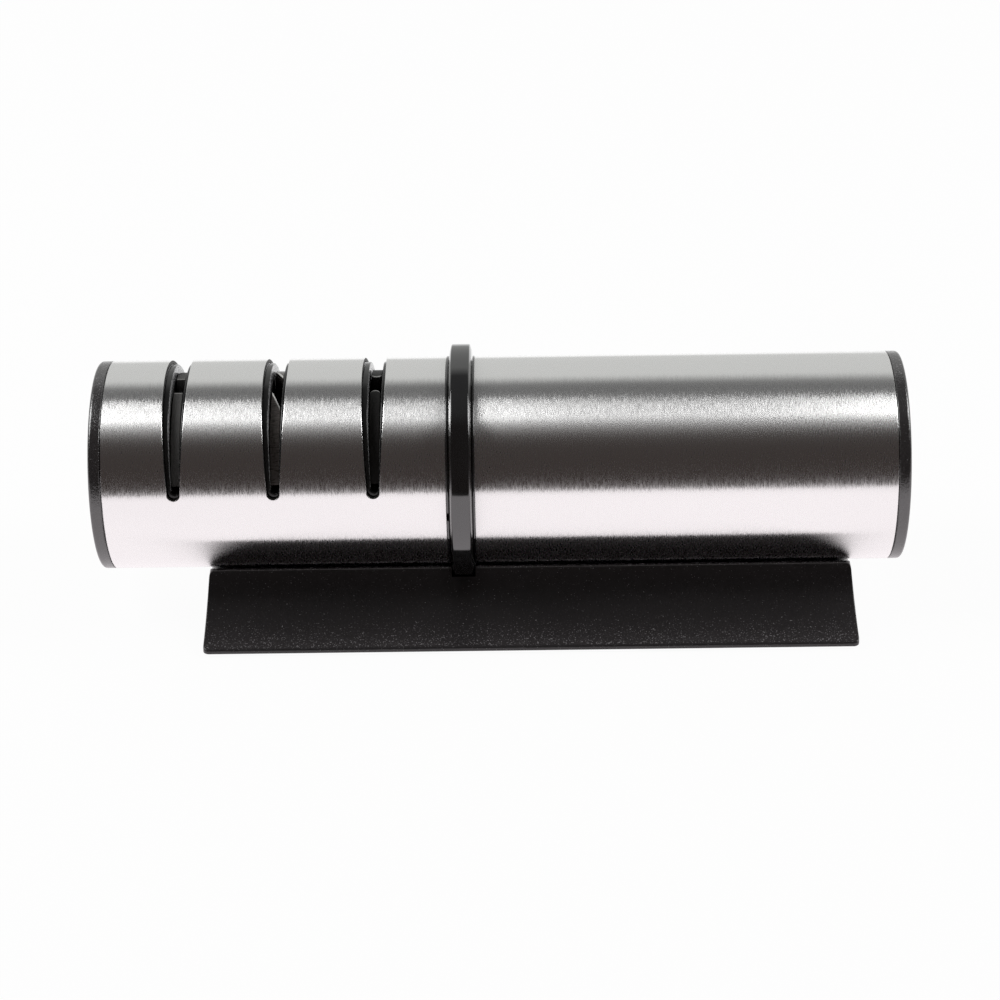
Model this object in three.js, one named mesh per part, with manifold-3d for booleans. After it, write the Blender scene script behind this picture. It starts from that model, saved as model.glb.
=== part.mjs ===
// Three-slot knife sharpener: a slotted steel body that turns in the collar of a saddle base.
// Millimetres, +Z up, +X from the slotted head towards the handle.
// The origin is on the table, under the middle of the body.

import * as THREE from 'three';
import { mergeVertices } from 'three/addons/utils/BufferGeometryUtils.js';
import Module from 'manifold-3d';

const wasm = await Module();
wasm.setup();

// Steel tube and its layout along the axis
const tubeDiameter = 50;
const tubeWall = 0.8;
const firstSlotInset = 19.8;
const slotPitch = 23.3;
const lastSlotToRing = 20.4;
const ringToHandleEnd = 104.9;

// Knife slots in the steel, and the plastic rim that shows inside them
const slotTopWidth = 5.5;
const slotBottomWidth = 3;
const slotDepth = 20;
const rimTopWidth = 1.1;
const rimBottomWidth = 0.5;
const rimFloorHeight = 0.9;
const channelShift = 0.35;

// Sharpening pairs: arched bars under the steel, one from the front and one from the rear of each
// slot. Their upper ends are flat in the coarse stage, slanted in the middle one and round in the fine one.
const archDepth = 3;
const archHeight = 6;
const archEnd = THREE.MathUtils.degToRad(8);
const archFloorGap = 0.9;
const coarseWidth = 2.1;
const bladeWidth = 2.2;
const bladeSlant = THREE.MathUtils.degToRad(22);
const fineWidth = 2.4;
const domeStep = 0.05;
const tangInner = 2.2;
const tangOuter = 5.2;
const tangDepth = 2.6;

// Stage blocks, the holders in them and the tie rods through them
const stageWall = 1.5;
const bridgeThickness = 3.6;
const holderFloor = 3.4;
const holderScrewInset = 3.3;
const holderScrewBite = 2.6;
const holderScrewDiameter = 2.2;
const holderScrewHeadDiameter = 4.2;
const holderScrewHeadHeight = 1.6;
const tieRodDiameter = 3;
const tieRodHeadDiameter = 5.5;
const tieRodHeadHeight = 2.2;
const tieRodDrop = THREE.MathUtils.degToRad(20);
const tieRodWall = 2.4;
const tieRodBite = 4.4;

// End caps
const capRim = 3;
const capEdgeRadius = 0.8;
const capSpigot = 4.2;
const handleSpigotWall = 3;

// Hub, collar ring and the small rings beside it
const ringRise = 3;
const ringWidth = 5.1;
const ringFlat = 4.3;
const ringBevelRise = 1.4;
const flangeRise = 0.2;
const snapRingWidth = 0.5;
const snapRingDepth = 1;
const snapRingSplit = 2.2;
const washerWidth = 0.4;
const hubWall = 4;
const hubWeb = 4;
const hubTail = 8;
const hubBossDiameter = 10;
const hubBossLength = 10;
const frictionGrooveWidth = 2.6;
const frictionGrooveDepth = 1.7;

// Handle core and stud
const studDiameter = 4;
const studBite = 7;
const coreTubeDiameter = 13;
const coreFinCount = 6;
const coreFinThickness = 2.4;
const coreDiscThickness = 2.5;
const coreDiscCount = 3;

// Saddle base
const ringFloor = 4;
const baseInsetHead = 24.9;
const baseInsetHandle = 11.2;
const baseEndDraft = 0.6;
const cradleReach = THREE.MathUtils.degToRad(38);
const cradleRimThickness = 0.9;
const flankSpread = 19.1;
const flankRadius = 40;
const toeHeight = 2;
const rimEndRadius = 1.2;
const baseCornerRadius = 1.5;
const shellWall = 2;
const plateThickness = 1.6;
const plateInset = 6.2;
const plateScrewInset = 8.5;
const plateScrewOffset = 2.4;
const plateScrewSkin = 1.5;
const plateBossDiameter = 6;
const smallScrewDiameter = 2.2;
const smallScrewHeadDiameter = 4.2;
const smallScrewHeadRim = 0.3;
const smallScrewHeadHeight = 1.2;
const collarFootLength = 18;
const collarFootWidth = 4.6;
const collarFootRoot = 0.8;
const collarScrewSpread = 10;
const collarScrewSkin = 1.3;
const stripThickness = 0.8;
const stripWidth = 9;
const stripEndGap = 6;
const stripCornerRadius = 2;

// Clearances
const sleeveFit = 0.2;
const runningFit = 0.3;
const pieceFit = 0.3;
const screwFit = 0.25;

// Facet counts
const skinSegments = 48;
const innerSegments = 32;
const rodSegments = 16;
const screwSegments = 10;
const arcSegments = 8;
const archSegments = 12;
const edgeSegments = 3;

// Radii about the body's axis
const tubeRadius = tubeDiameter / 2;
const boreRadius = tubeRadius - tubeWall;
const innerRadius = boreRadius - sleeveFit;
const ringBoreRadius = innerRadius + runningFit;
const ringRadius = tubeRadius + ringRise;
const flangeRadius = tubeRadius + flangeRise;
const cradleRadius = flangeRadius + runningFit;
const snapGrooveRadius = innerRadius - snapRingDepth;
const frictionGrooveRadius = innerRadius - frictionGrooveDepth;
const hubBoreRadius = innerRadius - hubWall;

// Stations along the axis, measured from the head end
const ringStation = firstSlotInset + 2 * slotPitch + lastSlotToRing;
const overallLength = ringStation + ringToHandleEnd;
const slotStations = [0, 1, 2].map((index) => firstSlotInset + index * slotPitch);
const ringStart = ringStation - ringWidth / 2;
const ringEnd = ringStation + ringWidth / 2;
const snapEnd = ringStart - runningFit;
const snapStart = snapEnd - snapRingWidth;
const washerStart = ringEnd + runningFit;
const washerEnd = washerStart + washerWidth;
const headSpigotEnd = capRim + capSpigot;
const hubStart = slotStations[2] + slotPitch / 2;
const hubWebEnd = hubStart + hubWeb;
const hubEnd = washerEnd + hubTail;
const handleRimStart = overallLength - capRim;
const handleSpigotStart = handleRimStart - capSpigot;
const stageEnds = [
  [headSpigotEnd, slotStations[0] + slotPitch / 2],
  [slotStations[1] - slotPitch / 2, slotStations[1] + slotPitch / 2],
  [slotStations[2] - slotPitch / 2, hubStart],
];
const studStart = hubWebEnd + hubBossLength - studBite;
const studEnd = handleRimStart;

// Heights above the body's axis, inside the head
const slotFloor = tubeRadius - slotDepth;
const channelFloor = slotFloor + rimFloorHeight;
const pocketCeiling = channelFloor - bridgeThickness;
const archRadius = tubeRadius - archDepth;
const archBottom = channelFloor + archFloorGap;
const pocketHalfWidth = slotPitch / 2 - stageWall - channelShift;
const holderHalfWidth = pocketHalfWidth - pieceFit;
const elementFoot = pocketCeiling - tangDepth;
const holderBottom = elementFoot - holderFloor;

// Tie rods and holders across the body
const tieRodReach = hubBoreRadius - tieRodHeadDiameter / 2 - 2 * pieceFit;
const tieRodSide = tieRodReach * Math.cos(tieRodDrop);
const tieRodHeight = -tieRodReach * Math.sin(tieRodDrop);
const tieHoleRadius = tieRodDiameter / 2 + pieceFit;
const pocketHalfDepth = tieRodSide - tieHoleRadius - tieRodWall;
const holderHalfDepth = pocketHalfDepth - pieceFit;
const holderScrewSide = holderHalfDepth - holderScrewInset;

// Saddle base section
const axisHeight = ringFloor + ringRadius;
const baseStart = baseInsetHead;
const baseEnd = overallLength - baseInsetHandle;
const rimInnerSide = cradleRadius * Math.sin(cradleReach);
const rimHeight = axisHeight - cradleRadius * Math.cos(cradleReach);
const rimOuterSide = rimInnerSide + cradleRimThickness;
const baseHalfDepth = rimOuterSide + flankSpread;
const baseBottom = stripThickness;
const plateTop = baseBottom + plateThickness;
const plateHalfDepth = baseHalfDepth - plateInset - pieceFit;
const plateScrewSide = rimOuterSide + plateScrewOffset;
const plateScrewStations = [baseStart + plateScrewInset, baseEnd - plateScrewInset];
const stripSide = plateScrewSide;

// Axis frames: sections drawn in the plane across an axis, and profiles turned about it
const axisX = new THREE.Vector3(1, 0, 0);
const axisY = new THREE.Vector3(0, 1, 0);
const axisZ = new THREE.Vector3(0, 0, 1);
const sectionAlongX = new THREE.Matrix4().makeBasis(axisY, axisZ, axisX);
const sectionAlongY = new THREE.Matrix4().makeBasis(axisX, axisZ, axisY.clone().negate());
const turnedAboutX = new THREE.Matrix4().makeBasis(axisZ, axisX, axisY);
const turnedAboutZ = new THREE.Matrix4().makeBasis(axisX, axisZ, axisY.clone().negate());

// Closed, outward-facing geometry with shared vertices and no empty triangles
const weldDistance = 1e-4;

function closed(geometry) {
  const plain = geometry.clone();
  plain.deleteAttribute('normal');
  plain.deleteAttribute('uv');
  const merged = mergeVertices(plain, weldDistance);
  const position = merged.attributes.position;
  const corners = [new THREE.Vector3(), new THREE.Vector3(), new THREE.Vector3()];
  const kept = [];
  let volume = 0;
  for (let start = 0; start < merged.index.count; start += 3) {
    const triangle = [0, 1, 2].map((offset) => merged.index.getX(start + offset));
    if (new Set(triangle).size < 3) continue;
    triangle.forEach((vertex, corner) => corners[corner].fromBufferAttribute(position, vertex));
    volume += corners[0].dot(corners[1].clone().cross(corners[2]));
    kept.push(triangle);
  }
  const facing = volume < 0 ? kept.map((triangle) => triangle.reverse()) : kept;
  merged.setIndex(facing.flat());
  return merged;
}

function solidOf(geometry) {
  const merged = closed(geometry);
  const vertProperties = new Float32Array(merged.attributes.position.array);
  const triVerts = new Uint32Array(merged.index.array);
  return new wasm.Manifold(new wasm.Mesh({ numProp: 3, vertProperties, triVerts }));
}

function geometryOf(solid) {
  const mesh = solid.getMesh();
  const geometry = new THREE.BufferGeometry();
  geometry.setAttribute('position', new THREE.BufferAttribute(mesh.vertProperties, 3));
  geometry.setIndex(new THREE.BufferAttribute(mesh.triVerts, 1));
  geometry.computeVertexNormals();
  return geometry;
}

// A profile of [radius, station] points turned about the X axis
function turned(profile, segments = skinSegments) {
  const points = profile.map(([radius, station]) => new THREE.Vector2(radius, station));
  return closed(new THREE.LatheGeometry(points, segments).applyMatrix4(turnedAboutX));
}

function closedRing(profile, segments = skinSegments) {
  return turned([...profile, profile[0]], segments);
}

function discAlongX(radius, start, end, segments = skinSegments) {
  return turned([[0, start], [radius, start], [radius, end], [0, end]], segments);
}

// A profile of [radius, height] points turned about the Z axis
function turnedUpright(profile, segments) {
  const points = profile.map(([radius, height]) => new THREE.Vector2(radius, height));
  return closed(new THREE.LatheGeometry(points, segments).applyMatrix4(turnedAboutZ));
}

function extrudedAlongX(shape, start, end, curveSegments = arcSegments) {
  const options = { depth: end - start, bevelEnabled: false, curveSegments };
  const geometry = new THREE.ExtrudeGeometry(shape, options).applyMatrix4(sectionAlongX);
  return closed(geometry.translate(start, 0, 0));
}

function extrudedAlongY(shape, halfDepth, curveSegments = arcSegments) {
  const options = { depth: 2 * halfDepth, bevelEnabled: false, curveSegments };
  const geometry = new THREE.ExtrudeGeometry(shape, options).applyMatrix4(sectionAlongY);
  return closed(geometry.translate(0, halfDepth, 0));
}

function extrudedUp(shape, bottom, top, curveSegments = arcSegments) {
  const options = { depth: top - bottom, bevelEnabled: false, curveSegments };
  return closed(new THREE.ExtrudeGeometry(shape, options).translate(0, 0, bottom));
}

// A rectangle with rounded corners, its length along X and its middle on the X axis
function roundedOutline(start, end, half, corner) {
  const shape = new THREE.Shape();
  shape.absarc(end - corner, half - corner, corner, 0, Math.PI / 2, false);
  shape.absarc(start + corner, half - corner, corner, Math.PI / 2, Math.PI, false);
  shape.absarc(start + corner, corner - half, corner, Math.PI, 1.5 * Math.PI, false);
  shape.absarc(end - corner, corner - half, corner, 1.5 * Math.PI, 2 * Math.PI, false);
  return shape;
}

function boxBetween(low, high) {
  const size = high.map((value, axis) => value - low[axis]);
  const middle = high.map((value, axis) => (value + low[axis]) / 2);
  return closed(new THREE.BoxGeometry(...size).translate(...middle));
}

// Materials
const material = (color, roughness, metalness = 0) =>
  new THREE.MeshStandardMaterial({ color, roughness, metalness });
const brushedSteel = material(0xc9c9c7, 0.32, 1);
const grainedPlastic = material(0x1d1c1d, 0.62);
const glossPlastic = material(0x121213, 0.16);
const innerPlastic = material(0x19191a, 0.5);
const paleNylon = material(0x5a5a58, 0.5);
const diamondSteel = material(0x6f6e6a, 0.6, 0.6);
const carbide = material(0x77756f, 0.28, 0.9);
const ceramic = material(0x2c2b2a, 0.55);
const rubber = material(0x161616, 0.85);
const zincSteel = material(0xa8aaad, 0.35, 1);

function addPiece(group, name, geometry, look) {
  const mesh = new THREE.Mesh(closed(geometry), look);
  mesh.name = name;
  group.add(mesh);
  return mesh;
}

// Knife slots: a tapered outline with a round floor, open past the top of the tube
function slotOutline(topWidth, bottomWidth, floor) {
  const radius = bottomWidth / 2;
  const above = tubeRadius + ringRise;
  const taper = (topWidth - bottomWidth) / 2 / (tubeRadius - floor - radius);
  const topHalf = topWidth / 2 + taper * (above - tubeRadius);
  const shape = new THREE.Shape();
  shape.moveTo(topHalf, above);
  shape.lineTo(-topHalf, above);
  shape.lineTo(-radius, floor + radius);
  shape.absarc(0, floor + radius, radius, Math.PI, 2 * Math.PI, false);
  return shape;
}

function slotTool(station, topWidth, bottomWidth, floor) {
  const outline = slotOutline(topWidth, bottomWidth, floor);
  const tool = extrudedAlongY(outline, tubeRadius + ringRise);
  return solidOf(tool.translate(station, 0, 0));
}

const elementSides = [
  { name: 'front', direction: -1 },
  { name: 'rear', direction: 1 },
];

const stages = [
  { element: 'diamond_rod', look: diamondSteel, width: coarseWidth },
  { element: 'carbide_blade', look: carbide, width: bladeWidth, slanted: true },
  { element: 'ceramic_rod', look: ceramic, width: fineWidth, domed: true },
].map((stage, index) => ({
  ...stage,
  station: slotStations[index] + channelShift,
  start: stageEnds[index][0],
  end: stageEnds[index][1],
  number: index + 1,
}));

// Directions at an angle from the top towards the front
const outwardAt = (angle) => new THREE.Vector3(0, -Math.sin(angle), Math.cos(angle));
const alongAt = (angle) => new THREE.Vector3(0, -Math.cos(angle), -Math.sin(angle));

// The side view of a front bar, from its upper end down to its tang, grown by a clearance
function archOutline(end, grow) {
  const radius = archRadius + grow;
  const bottom = archBottom - grow;
  const first = end - grow / archRadius;
  const last = Math.acos(bottom / radius);
  const points = [];
  for (let step = 0; step <= archSegments; step += 1) {
    const angle = first + (last - first) * (step / archSegments);
    points.push([radius * Math.sin(angle), radius * Math.cos(angle)]);
  }
  const inner = archRadius - archHeight;
  points.push([tangOuter + grow, bottom]);
  points.push([tangOuter + grow, elementFoot - grow]);
  points.push([tangInner - grow, elementFoot - grow]);
  points.push([inner * Math.sin(first), inner * Math.cos(first)]);
  return new THREE.Shape(points.map(([side, height]) => new THREE.Vector2(-side, height)));
}

function archBar(width, end, grow) {
  const half = width / 2 + grow;
  return solidOf(extrudedAlongX(archOutline(end, grow), -half, half));
}

// A slanted end runs across the bar from its end on the head side to further down on the handle side
function slantTool(width, grow) {
  const run = width / Math.tan(bladeSlant);
  const middle = archEnd + run / 2 / archRadius;
  const along = alongAt(middle);
  const outward = outwardAt(middle);
  const lean = Math.sin(bladeSlant);
  const rise = Math.cos(bladeSlant);
  const line = axisX.clone().multiplyScalar(lean).addScaledVector(along, rise);
  const away = axisX.clone().multiplyScalar(rise).addScaledVector(along, -lean);
  const reach = 2 * archHeight;
  const box = boxBetween([-reach, grow, -archHeight - grow], [reach, reach, archHeight]);
  const place = outward.clone().multiplyScalar(archRadius);
  const basis = new THREE.Matrix4().makeBasis(line, away, outward).setPosition(place);
  return solidOf(closed(box.applyMatrix4(basis)));
}

// A round end is a stub that stands outwards at the end of the bar
function roundEnd(width, grow) {
  const angle = archEnd + width / 2 / archRadius;
  const radius = width / 2 - domeStep + grow;
  const low = archRadius - archHeight - grow;
  const high = archRadius - domeStep + grow;
  const outward = outwardAt(angle);
  const stub = turnedUpright([[0, low], [radius, low], [radius, high], [0, high]], rodSegments);
  const basis = new THREE.Matrix4().makeBasis(axisX, alongAt(angle).negate(), outward);
  return { angle, solid: solidOf(closed(stub.applyMatrix4(basis))) };
}

function frontBar(stage, grow) {
  if (stage.slanted) return archBar(stage.width, archEnd, grow).subtract(slantTool(stage.width, grow));
  if (!stage.domed) return archBar(stage.width, archEnd, grow);
  const { angle, solid } = roundEnd(stage.width, grow);
  return archBar(stage.width, angle, grow).add(solid);
}

// The rear bar is the front one turned half round
function elementAt(stage, direction, grow) {
  const geometry = geometryOf(frontBar(stage, grow));
  return direction < 0 ? geometry : geometry.rotateZ(Math.PI);
}

function elementTools(stage) {
  return elementSides.map(({ direction }) =>
    solidOf(elementAt(stage, direction, pieceFit).translate(stage.station, 0, 0)));
}

function addElements(body) {
  stages.forEach((stage) => {
    elementSides.forEach(({ name, direction }) => {
      const piece = addPiece(body, `${stage.element}_${name}`, elementAt(stage, direction, 0), stage.look);
      piece.position.set(stage.station, 0, 0);
    });
  });
}

// Holder screw, standing along +Z with its head down
function holderScrew(grow) {
  const headRadius = holderScrewHeadDiameter / 2 + grow;
  const radius = holderScrewDiameter / 2 + grow;
  const neck = holderBottom + holderScrewHeadHeight;
  const bottom = holderBottom - grow;
  const tip = pocketCeiling + holderScrewBite + grow;
  const profile = [
    [0, bottom],
    [headRadius, bottom],
    [headRadius, neck],
    [radius, neck],
    [radius, tip],
    [0, tip],
  ];
  return turnedUpright(profile, screwSegments);
}

function holderScrewTools(stage) {
  return elementSides.map(({ direction }) =>
    solidOf(holderScrew(screwFit).translate(stage.station, direction * holderScrewSide, 0)));
}

function cutAll(solid, tools) {
  return tools.reduce((left, tool) => left.subtract(tool), solid);
}

// Head tie rods run from the head cap through the stage blocks to the hub's web
const tieRodStart = headSpigotEnd - tieRodBite;

function tieRod() {
  const radius = tieRodDiameter / 2;
  const headRadius = tieRodHeadDiameter / 2;
  return turned([
    [0, tieRodStart],
    [radius, tieRodStart],
    [radius, hubWebEnd],
    [headRadius, hubWebEnd],
    [headRadius, hubWebEnd + tieRodHeadHeight],
    [0, hubWebEnd + tieRodHeadHeight],
  ], rodSegments);
}

function tieHoleTools() {
  const hole = discAlongX(tieHoleRadius, tieRodStart - pieceFit, hubWebEnd + pieceFit, rodSegments);
  return elementSides.map(({ direction }) =>
    solidOf(hole.clone().translate(0, direction * tieRodSide, tieRodHeight)));
}

function addTieRods(body) {
  elementSides.forEach(({ name, direction }) => {
    const rod = addPiece(body, `head_tie_rod_${name}`, tieRod(), zincSteel);
    rod.position.set(0, direction * tieRodSide, tieRodHeight);
  });
}

// Stage blocks: round blocks with a knife channel above and a pocket for the holder below
function stageBlock(stage) {
  const channelTop = slotTopWidth - 2 * rimTopWidth;
  const channelBottom = slotBottomWidth - 2 * rimBottomWidth;
  const block = solidOf(discAlongX(innerRadius, stage.start, stage.end, innerSegments));
  const pocket = boxBetween(
    [stage.station - pocketHalfWidth, -pocketHalfDepth, -tubeRadius],
    [stage.station + pocketHalfWidth, pocketHalfDepth, pocketCeiling],
  );
  return cutAll(block, [
    slotTool(stage.station, channelTop, channelBottom, channelFloor),
    solidOf(pocket),
    ...elementTools(stage),
    ...holderScrewTools(stage),
    ...tieHoleTools(),
  ]);
}

function holder(stage) {
  const block = boxBetween(
    [stage.station - holderHalfWidth, -holderHalfDepth, holderBottom],
    [stage.station + holderHalfWidth, holderHalfDepth, pocketCeiling],
  );
  return cutAll(solidOf(block), [...elementTools(stage), ...holderScrewTools(stage)]);
}

function addStages(body) {
  stages.forEach((stage) => {
    addPiece(body, `stage_${stage.number}_body`, geometryOf(stageBlock(stage)), innerPlastic);
    addPiece(body, `stage_${stage.number}_holder`, geometryOf(holder(stage)), paleNylon);
    elementSides.forEach(({ name, direction }) => {
      const screw = addPiece(body, `holder_screw_${stage.number}_${name}`, holderScrew(0), zincSteel);
      screw.position.set(stage.station, direction * holderScrewSide, 0);
    });
  });
}

// Steel sleeves
function sleeve(start, end) {
  return closedRing([[boreRadius, start], [tubeRadius, start], [tubeRadius, end], [boreRadius, end]]);
}

function headSleeve() {
  const tools = slotStations.map((station) =>
    slotTool(station, slotTopWidth, slotBottomWidth, slotFloor));
  return geometryOf(cutAll(solidOf(sleeve(capRim, snapStart)), tools));
}

function addSleeves(body) {
  addPiece(body, 'head_sleeve', headSleeve(), brushedSteel);
  addPiece(body, 'handle_sleeve', sleeve(washerEnd, handleRimStart), brushedSteel);
}

// End caps: a rim flush with the tube, rounded at its outer edge, and a spigot inside the tube
function capEdge(outerStation, direction) {
  const points = [];
  for (let step = 0; step <= edgeSegments; step += 1) {
    const angle = (step / edgeSegments) * (Math.PI / 2);
    const radius = tubeRadius - capEdgeRadius + capEdgeRadius * Math.sin(angle);
    points.push([radius, outerStation + direction * capEdgeRadius * (1 - Math.cos(angle))]);
  }
  return points;
}

function headCap() {
  const blank = turned([
    [0, 0],
    ...capEdge(0, 1),
    [tubeRadius, capRim],
    [innerRadius, capRim],
    [innerRadius, headSpigotEnd],
    [0, headSpigotEnd],
  ]);
  return geometryOf(cutAll(solidOf(blank), tieHoleTools()));
}

function handleCap() {
  const socketRadius = studDiameter / 2 + screwFit;
  const bossRadius = coreTubeDiameter / 2;
  const spigotBore = innerRadius - handleSpigotWall;
  return turned([
    [0, overallLength],
    ...capEdge(overallLength, -1),
    [tubeRadius, handleRimStart],
    [innerRadius, handleRimStart],
    [innerRadius, handleSpigotStart],
    [spigotBore, handleSpigotStart],
    [spigotBore, handleRimStart],
    [bossRadius, handleRimStart],
    [bossRadius, handleSpigotStart],
    [socketRadius, handleSpigotStart],
    [socketRadius, studEnd],
    [0, studEnd],
  ]);
}

function addCaps(body) {
  addPiece(body, 'head_cap', headCap(), grainedPlastic);
  addPiece(body, 'handle_cap', handleCap(), grainedPlastic);
}

// Hub: carries the sleeves' inner ends and turns in the collar ring
function hub() {
  const frictionStart = ringStation - frictionGrooveWidth / 2;
  const frictionEnd = ringStation + frictionGrooveWidth / 2;
  const bossRadius = hubBossDiameter / 2;
  const bossEnd = hubWebEnd + hubBossLength;
  const socketRadius = studDiameter / 2 + screwFit;
  const blank = turned([
    [0, hubStart],
    [innerRadius, hubStart],
    [innerRadius, snapStart],
    [snapGrooveRadius, snapStart],
    [snapGrooveRadius, snapEnd],
    [innerRadius, snapEnd],
    [innerRadius, frictionStart],
    [frictionGrooveRadius, frictionStart],
    [frictionGrooveRadius, frictionEnd],
    [innerRadius, frictionEnd],
    [innerRadius, hubEnd],
    [hubBoreRadius, hubEnd],
    [hubBoreRadius, hubWebEnd],
    [bossRadius, hubWebEnd],
    [bossRadius, bossEnd],
    [socketRadius, bossEnd],
    [socketRadius, studStart - pieceFit],
    [0, studStart - pieceFit],
  ], innerSegments);
  return geometryOf(cutAll(solidOf(blank), tieHoleTools()));
}

function frictionRing() {
  const middle = (ringBoreRadius + frictionGrooveRadius) / 2;
  const radius = (ringBoreRadius - frictionGrooveRadius) / 2 - sleeveFit;
  const geometry = new THREE.TorusGeometry(middle, radius, 2 * edgeSegments, innerSegments);
  return geometry.applyMatrix4(sectionAlongX).translate(ringStation, 0, 0);
}

// Split ring in the hub's groove, its split level with the axis at the front
function snapRing() {
  const inner = snapGrooveRadius + sleeveFit;
  const split = snapRingSplit / 2 / flangeRadius;
  const shape = new THREE.Shape();
  shape.absarc(0, 0, flangeRadius, -Math.PI + split, Math.PI - split, false);
  shape.absarc(0, 0, inner, Math.PI - split, -Math.PI + split, true);
  return extrudedAlongX(shape, snapStart, snapEnd, skinSegments / 2);
}

function collarWasher() {
  const inner = innerRadius + sleeveFit;
  return closedRing([
    [inner, washerStart],
    [flangeRadius, washerStart],
    [flangeRadius, washerEnd],
    [inner, washerEnd],
  ]);
}

// Finned core of the handle, with discs that carry the sleeve
function handleCore() {
  const start = hubEnd;
  const end = handleSpigotStart;
  const tubeSolid = solidOf(discAlongX(coreTubeDiameter / 2, start, end, rodSegments));
  const discPitch = (end - start - coreDiscThickness) / (coreDiscCount - 1);
  let core = tubeSolid;
  for (let index = 0; index < coreDiscCount; index += 1) {
    const discStart = start + index * discPitch;
    const disc = discAlongX(innerRadius, discStart, discStart + coreDiscThickness, innerSegments);
    core = core.add(solidOf(disc));
  }
  for (let index = 0; index < coreFinCount; index += 1) {
    const half = coreFinThickness / 2;
    const reach = innerRadius - sleeveFit;
    const fin = boxBetween([start, 0, -half], [end, reach, half]);
    fin.rotateX((index / coreFinCount) * 2 * Math.PI);
    core = core.add(solidOf(fin));
  }
  const bore = discAlongX(studDiameter / 2 + screwFit, start - pieceFit, end + pieceFit, rodSegments);
  return geometryOf(core.subtract(solidOf(bore)));
}

function handleStud() {
  return discAlongX(studDiameter / 2, studStart, studEnd - pieceFit, rodSegments);
}

function addHandle(body) {
  addPiece(body, 'hub', hub(), innerPlastic);
  addPiece(body, 'friction_ring', frictionRing(), rubber);
  addPiece(body, 'collar_snap_ring', snapRing(), glossPlastic);
  addPiece(body, 'collar_washer', collarWasher(), glossPlastic);
  addPiece(body, 'handle_core', handleCore(), innerPlastic);
  addPiece(body, 'handle_stud', handleStud(), zincSteel);
}

// Saddle base: concave flanks are arcs from the cradle's rim to the toe
function flankArc() {
  const rim = new THREE.Vector2(rimOuterSide, rimHeight);
  const toe = new THREE.Vector2(baseHalfDepth, toeHeight);
  const chord = toe.clone().sub(rim);
  const outward = new THREE.Vector2(-chord.y, chord.x).normalize();
  const drop = Math.sqrt(flankRadius ** 2 - (chord.length() / 2) ** 2);
  const centre = rim.clone().add(toe).multiplyScalar(0.5).addScaledVector(outward, drop);
  const rimAngle = Math.atan2(rim.y - centre.y, rim.x - centre.x);
  const toeAngle = Math.atan2(toe.y - centre.y, toe.x - centre.x);
  return { centre, rimAngle, toeAngle };
}

const flank = flankArc();

function flankHeight(side) {
  return flank.centre.y - Math.sqrt(flankRadius ** 2 - (side - flank.centre.x) ** 2);
}

// The section under both flanks, drawn a wall's thickness inside the outer surface
function flankSection(wall, bottom) {
  const radius = flankRadius + wall;
  const { centre, rimAngle, toeAngle } = flank;
  const toeSide = centre.x + radius * Math.cos(toeAngle);
  const shape = new THREE.Shape();
  shape.moveTo(toeSide, bottom);
  shape.lineTo(toeSide, centre.y + radius * Math.sin(toeAngle));
  shape.absarc(centre.x, centre.y, radius, toeAngle, rimAngle, true);
  shape.absarc(-centre.x, centre.y, radius, Math.PI - rimAngle, Math.PI - toeAngle, true);
  shape.lineTo(-toeSide, bottom);
  return shape;
}

function aboutAxis(radius, start, end) {
  return solidOf(discAlongX(radius, start, end).translate(0, 0, axisHeight));
}

function baseHollow() {
  const start = baseStart + shellWall;
  const end = baseEnd - shellWall;
  const side = plateHalfDepth + pieceFit;
  const limits = solidOf(boxBetween([start, -side, -shellWall], [end, side, rimHeight]));
  const room = solidOf(extrudedAlongX(flankSection(shellWall, -shellWall), start, end));
  const rebate = solidOf(boxBetween([start, -side, -shellWall], [end, side, plateTop]));
  const underCradle = aboutAxis(cradleRadius + shellWall, start - shellWall, end + shellWall);
  return room.intersect(limits).subtract(underCradle).add(rebate);
}

// Countersunk screw, standing along +Z from the plate's underside up to its tip
function smallScrew(tip, grow) {
  const headRadius = smallScrewHeadDiameter / 2 + grow;
  const radius = smallScrewDiameter / 2 + grow;
  const bottom = baseBottom - grow;
  return turnedUpright([
    [0, bottom],
    [headRadius, bottom],
    [headRadius, baseBottom + smallScrewHeadRim],
    [radius, baseBottom + smallScrewHeadHeight],
    [radius, tip + grow],
    [0, tip + grow],
  ], screwSegments);
}

const plateScrewHoleSide = plateScrewSide + smallScrewDiameter / 2 + screwFit;
const plateScrewTip = flankHeight(plateScrewHoleSide) - plateScrewSkin;
const plateScrews = plateScrewStations.flatMap((station) =>
  elementSides.map(({ direction }) => [station, direction * plateScrewSide]));

const collarScrewTip = axisHeight - ringBoreRadius - collarScrewSkin;
const collarScrews = elementSides.map(({ direction }) =>
  [ringStation, direction * collarScrewSpread / 2]);

function screwTools(places, tip) {
  return places.map(([station, side]) =>
    solidOf(smallScrew(tip, screwFit).translate(station, side, 0)));
}

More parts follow.
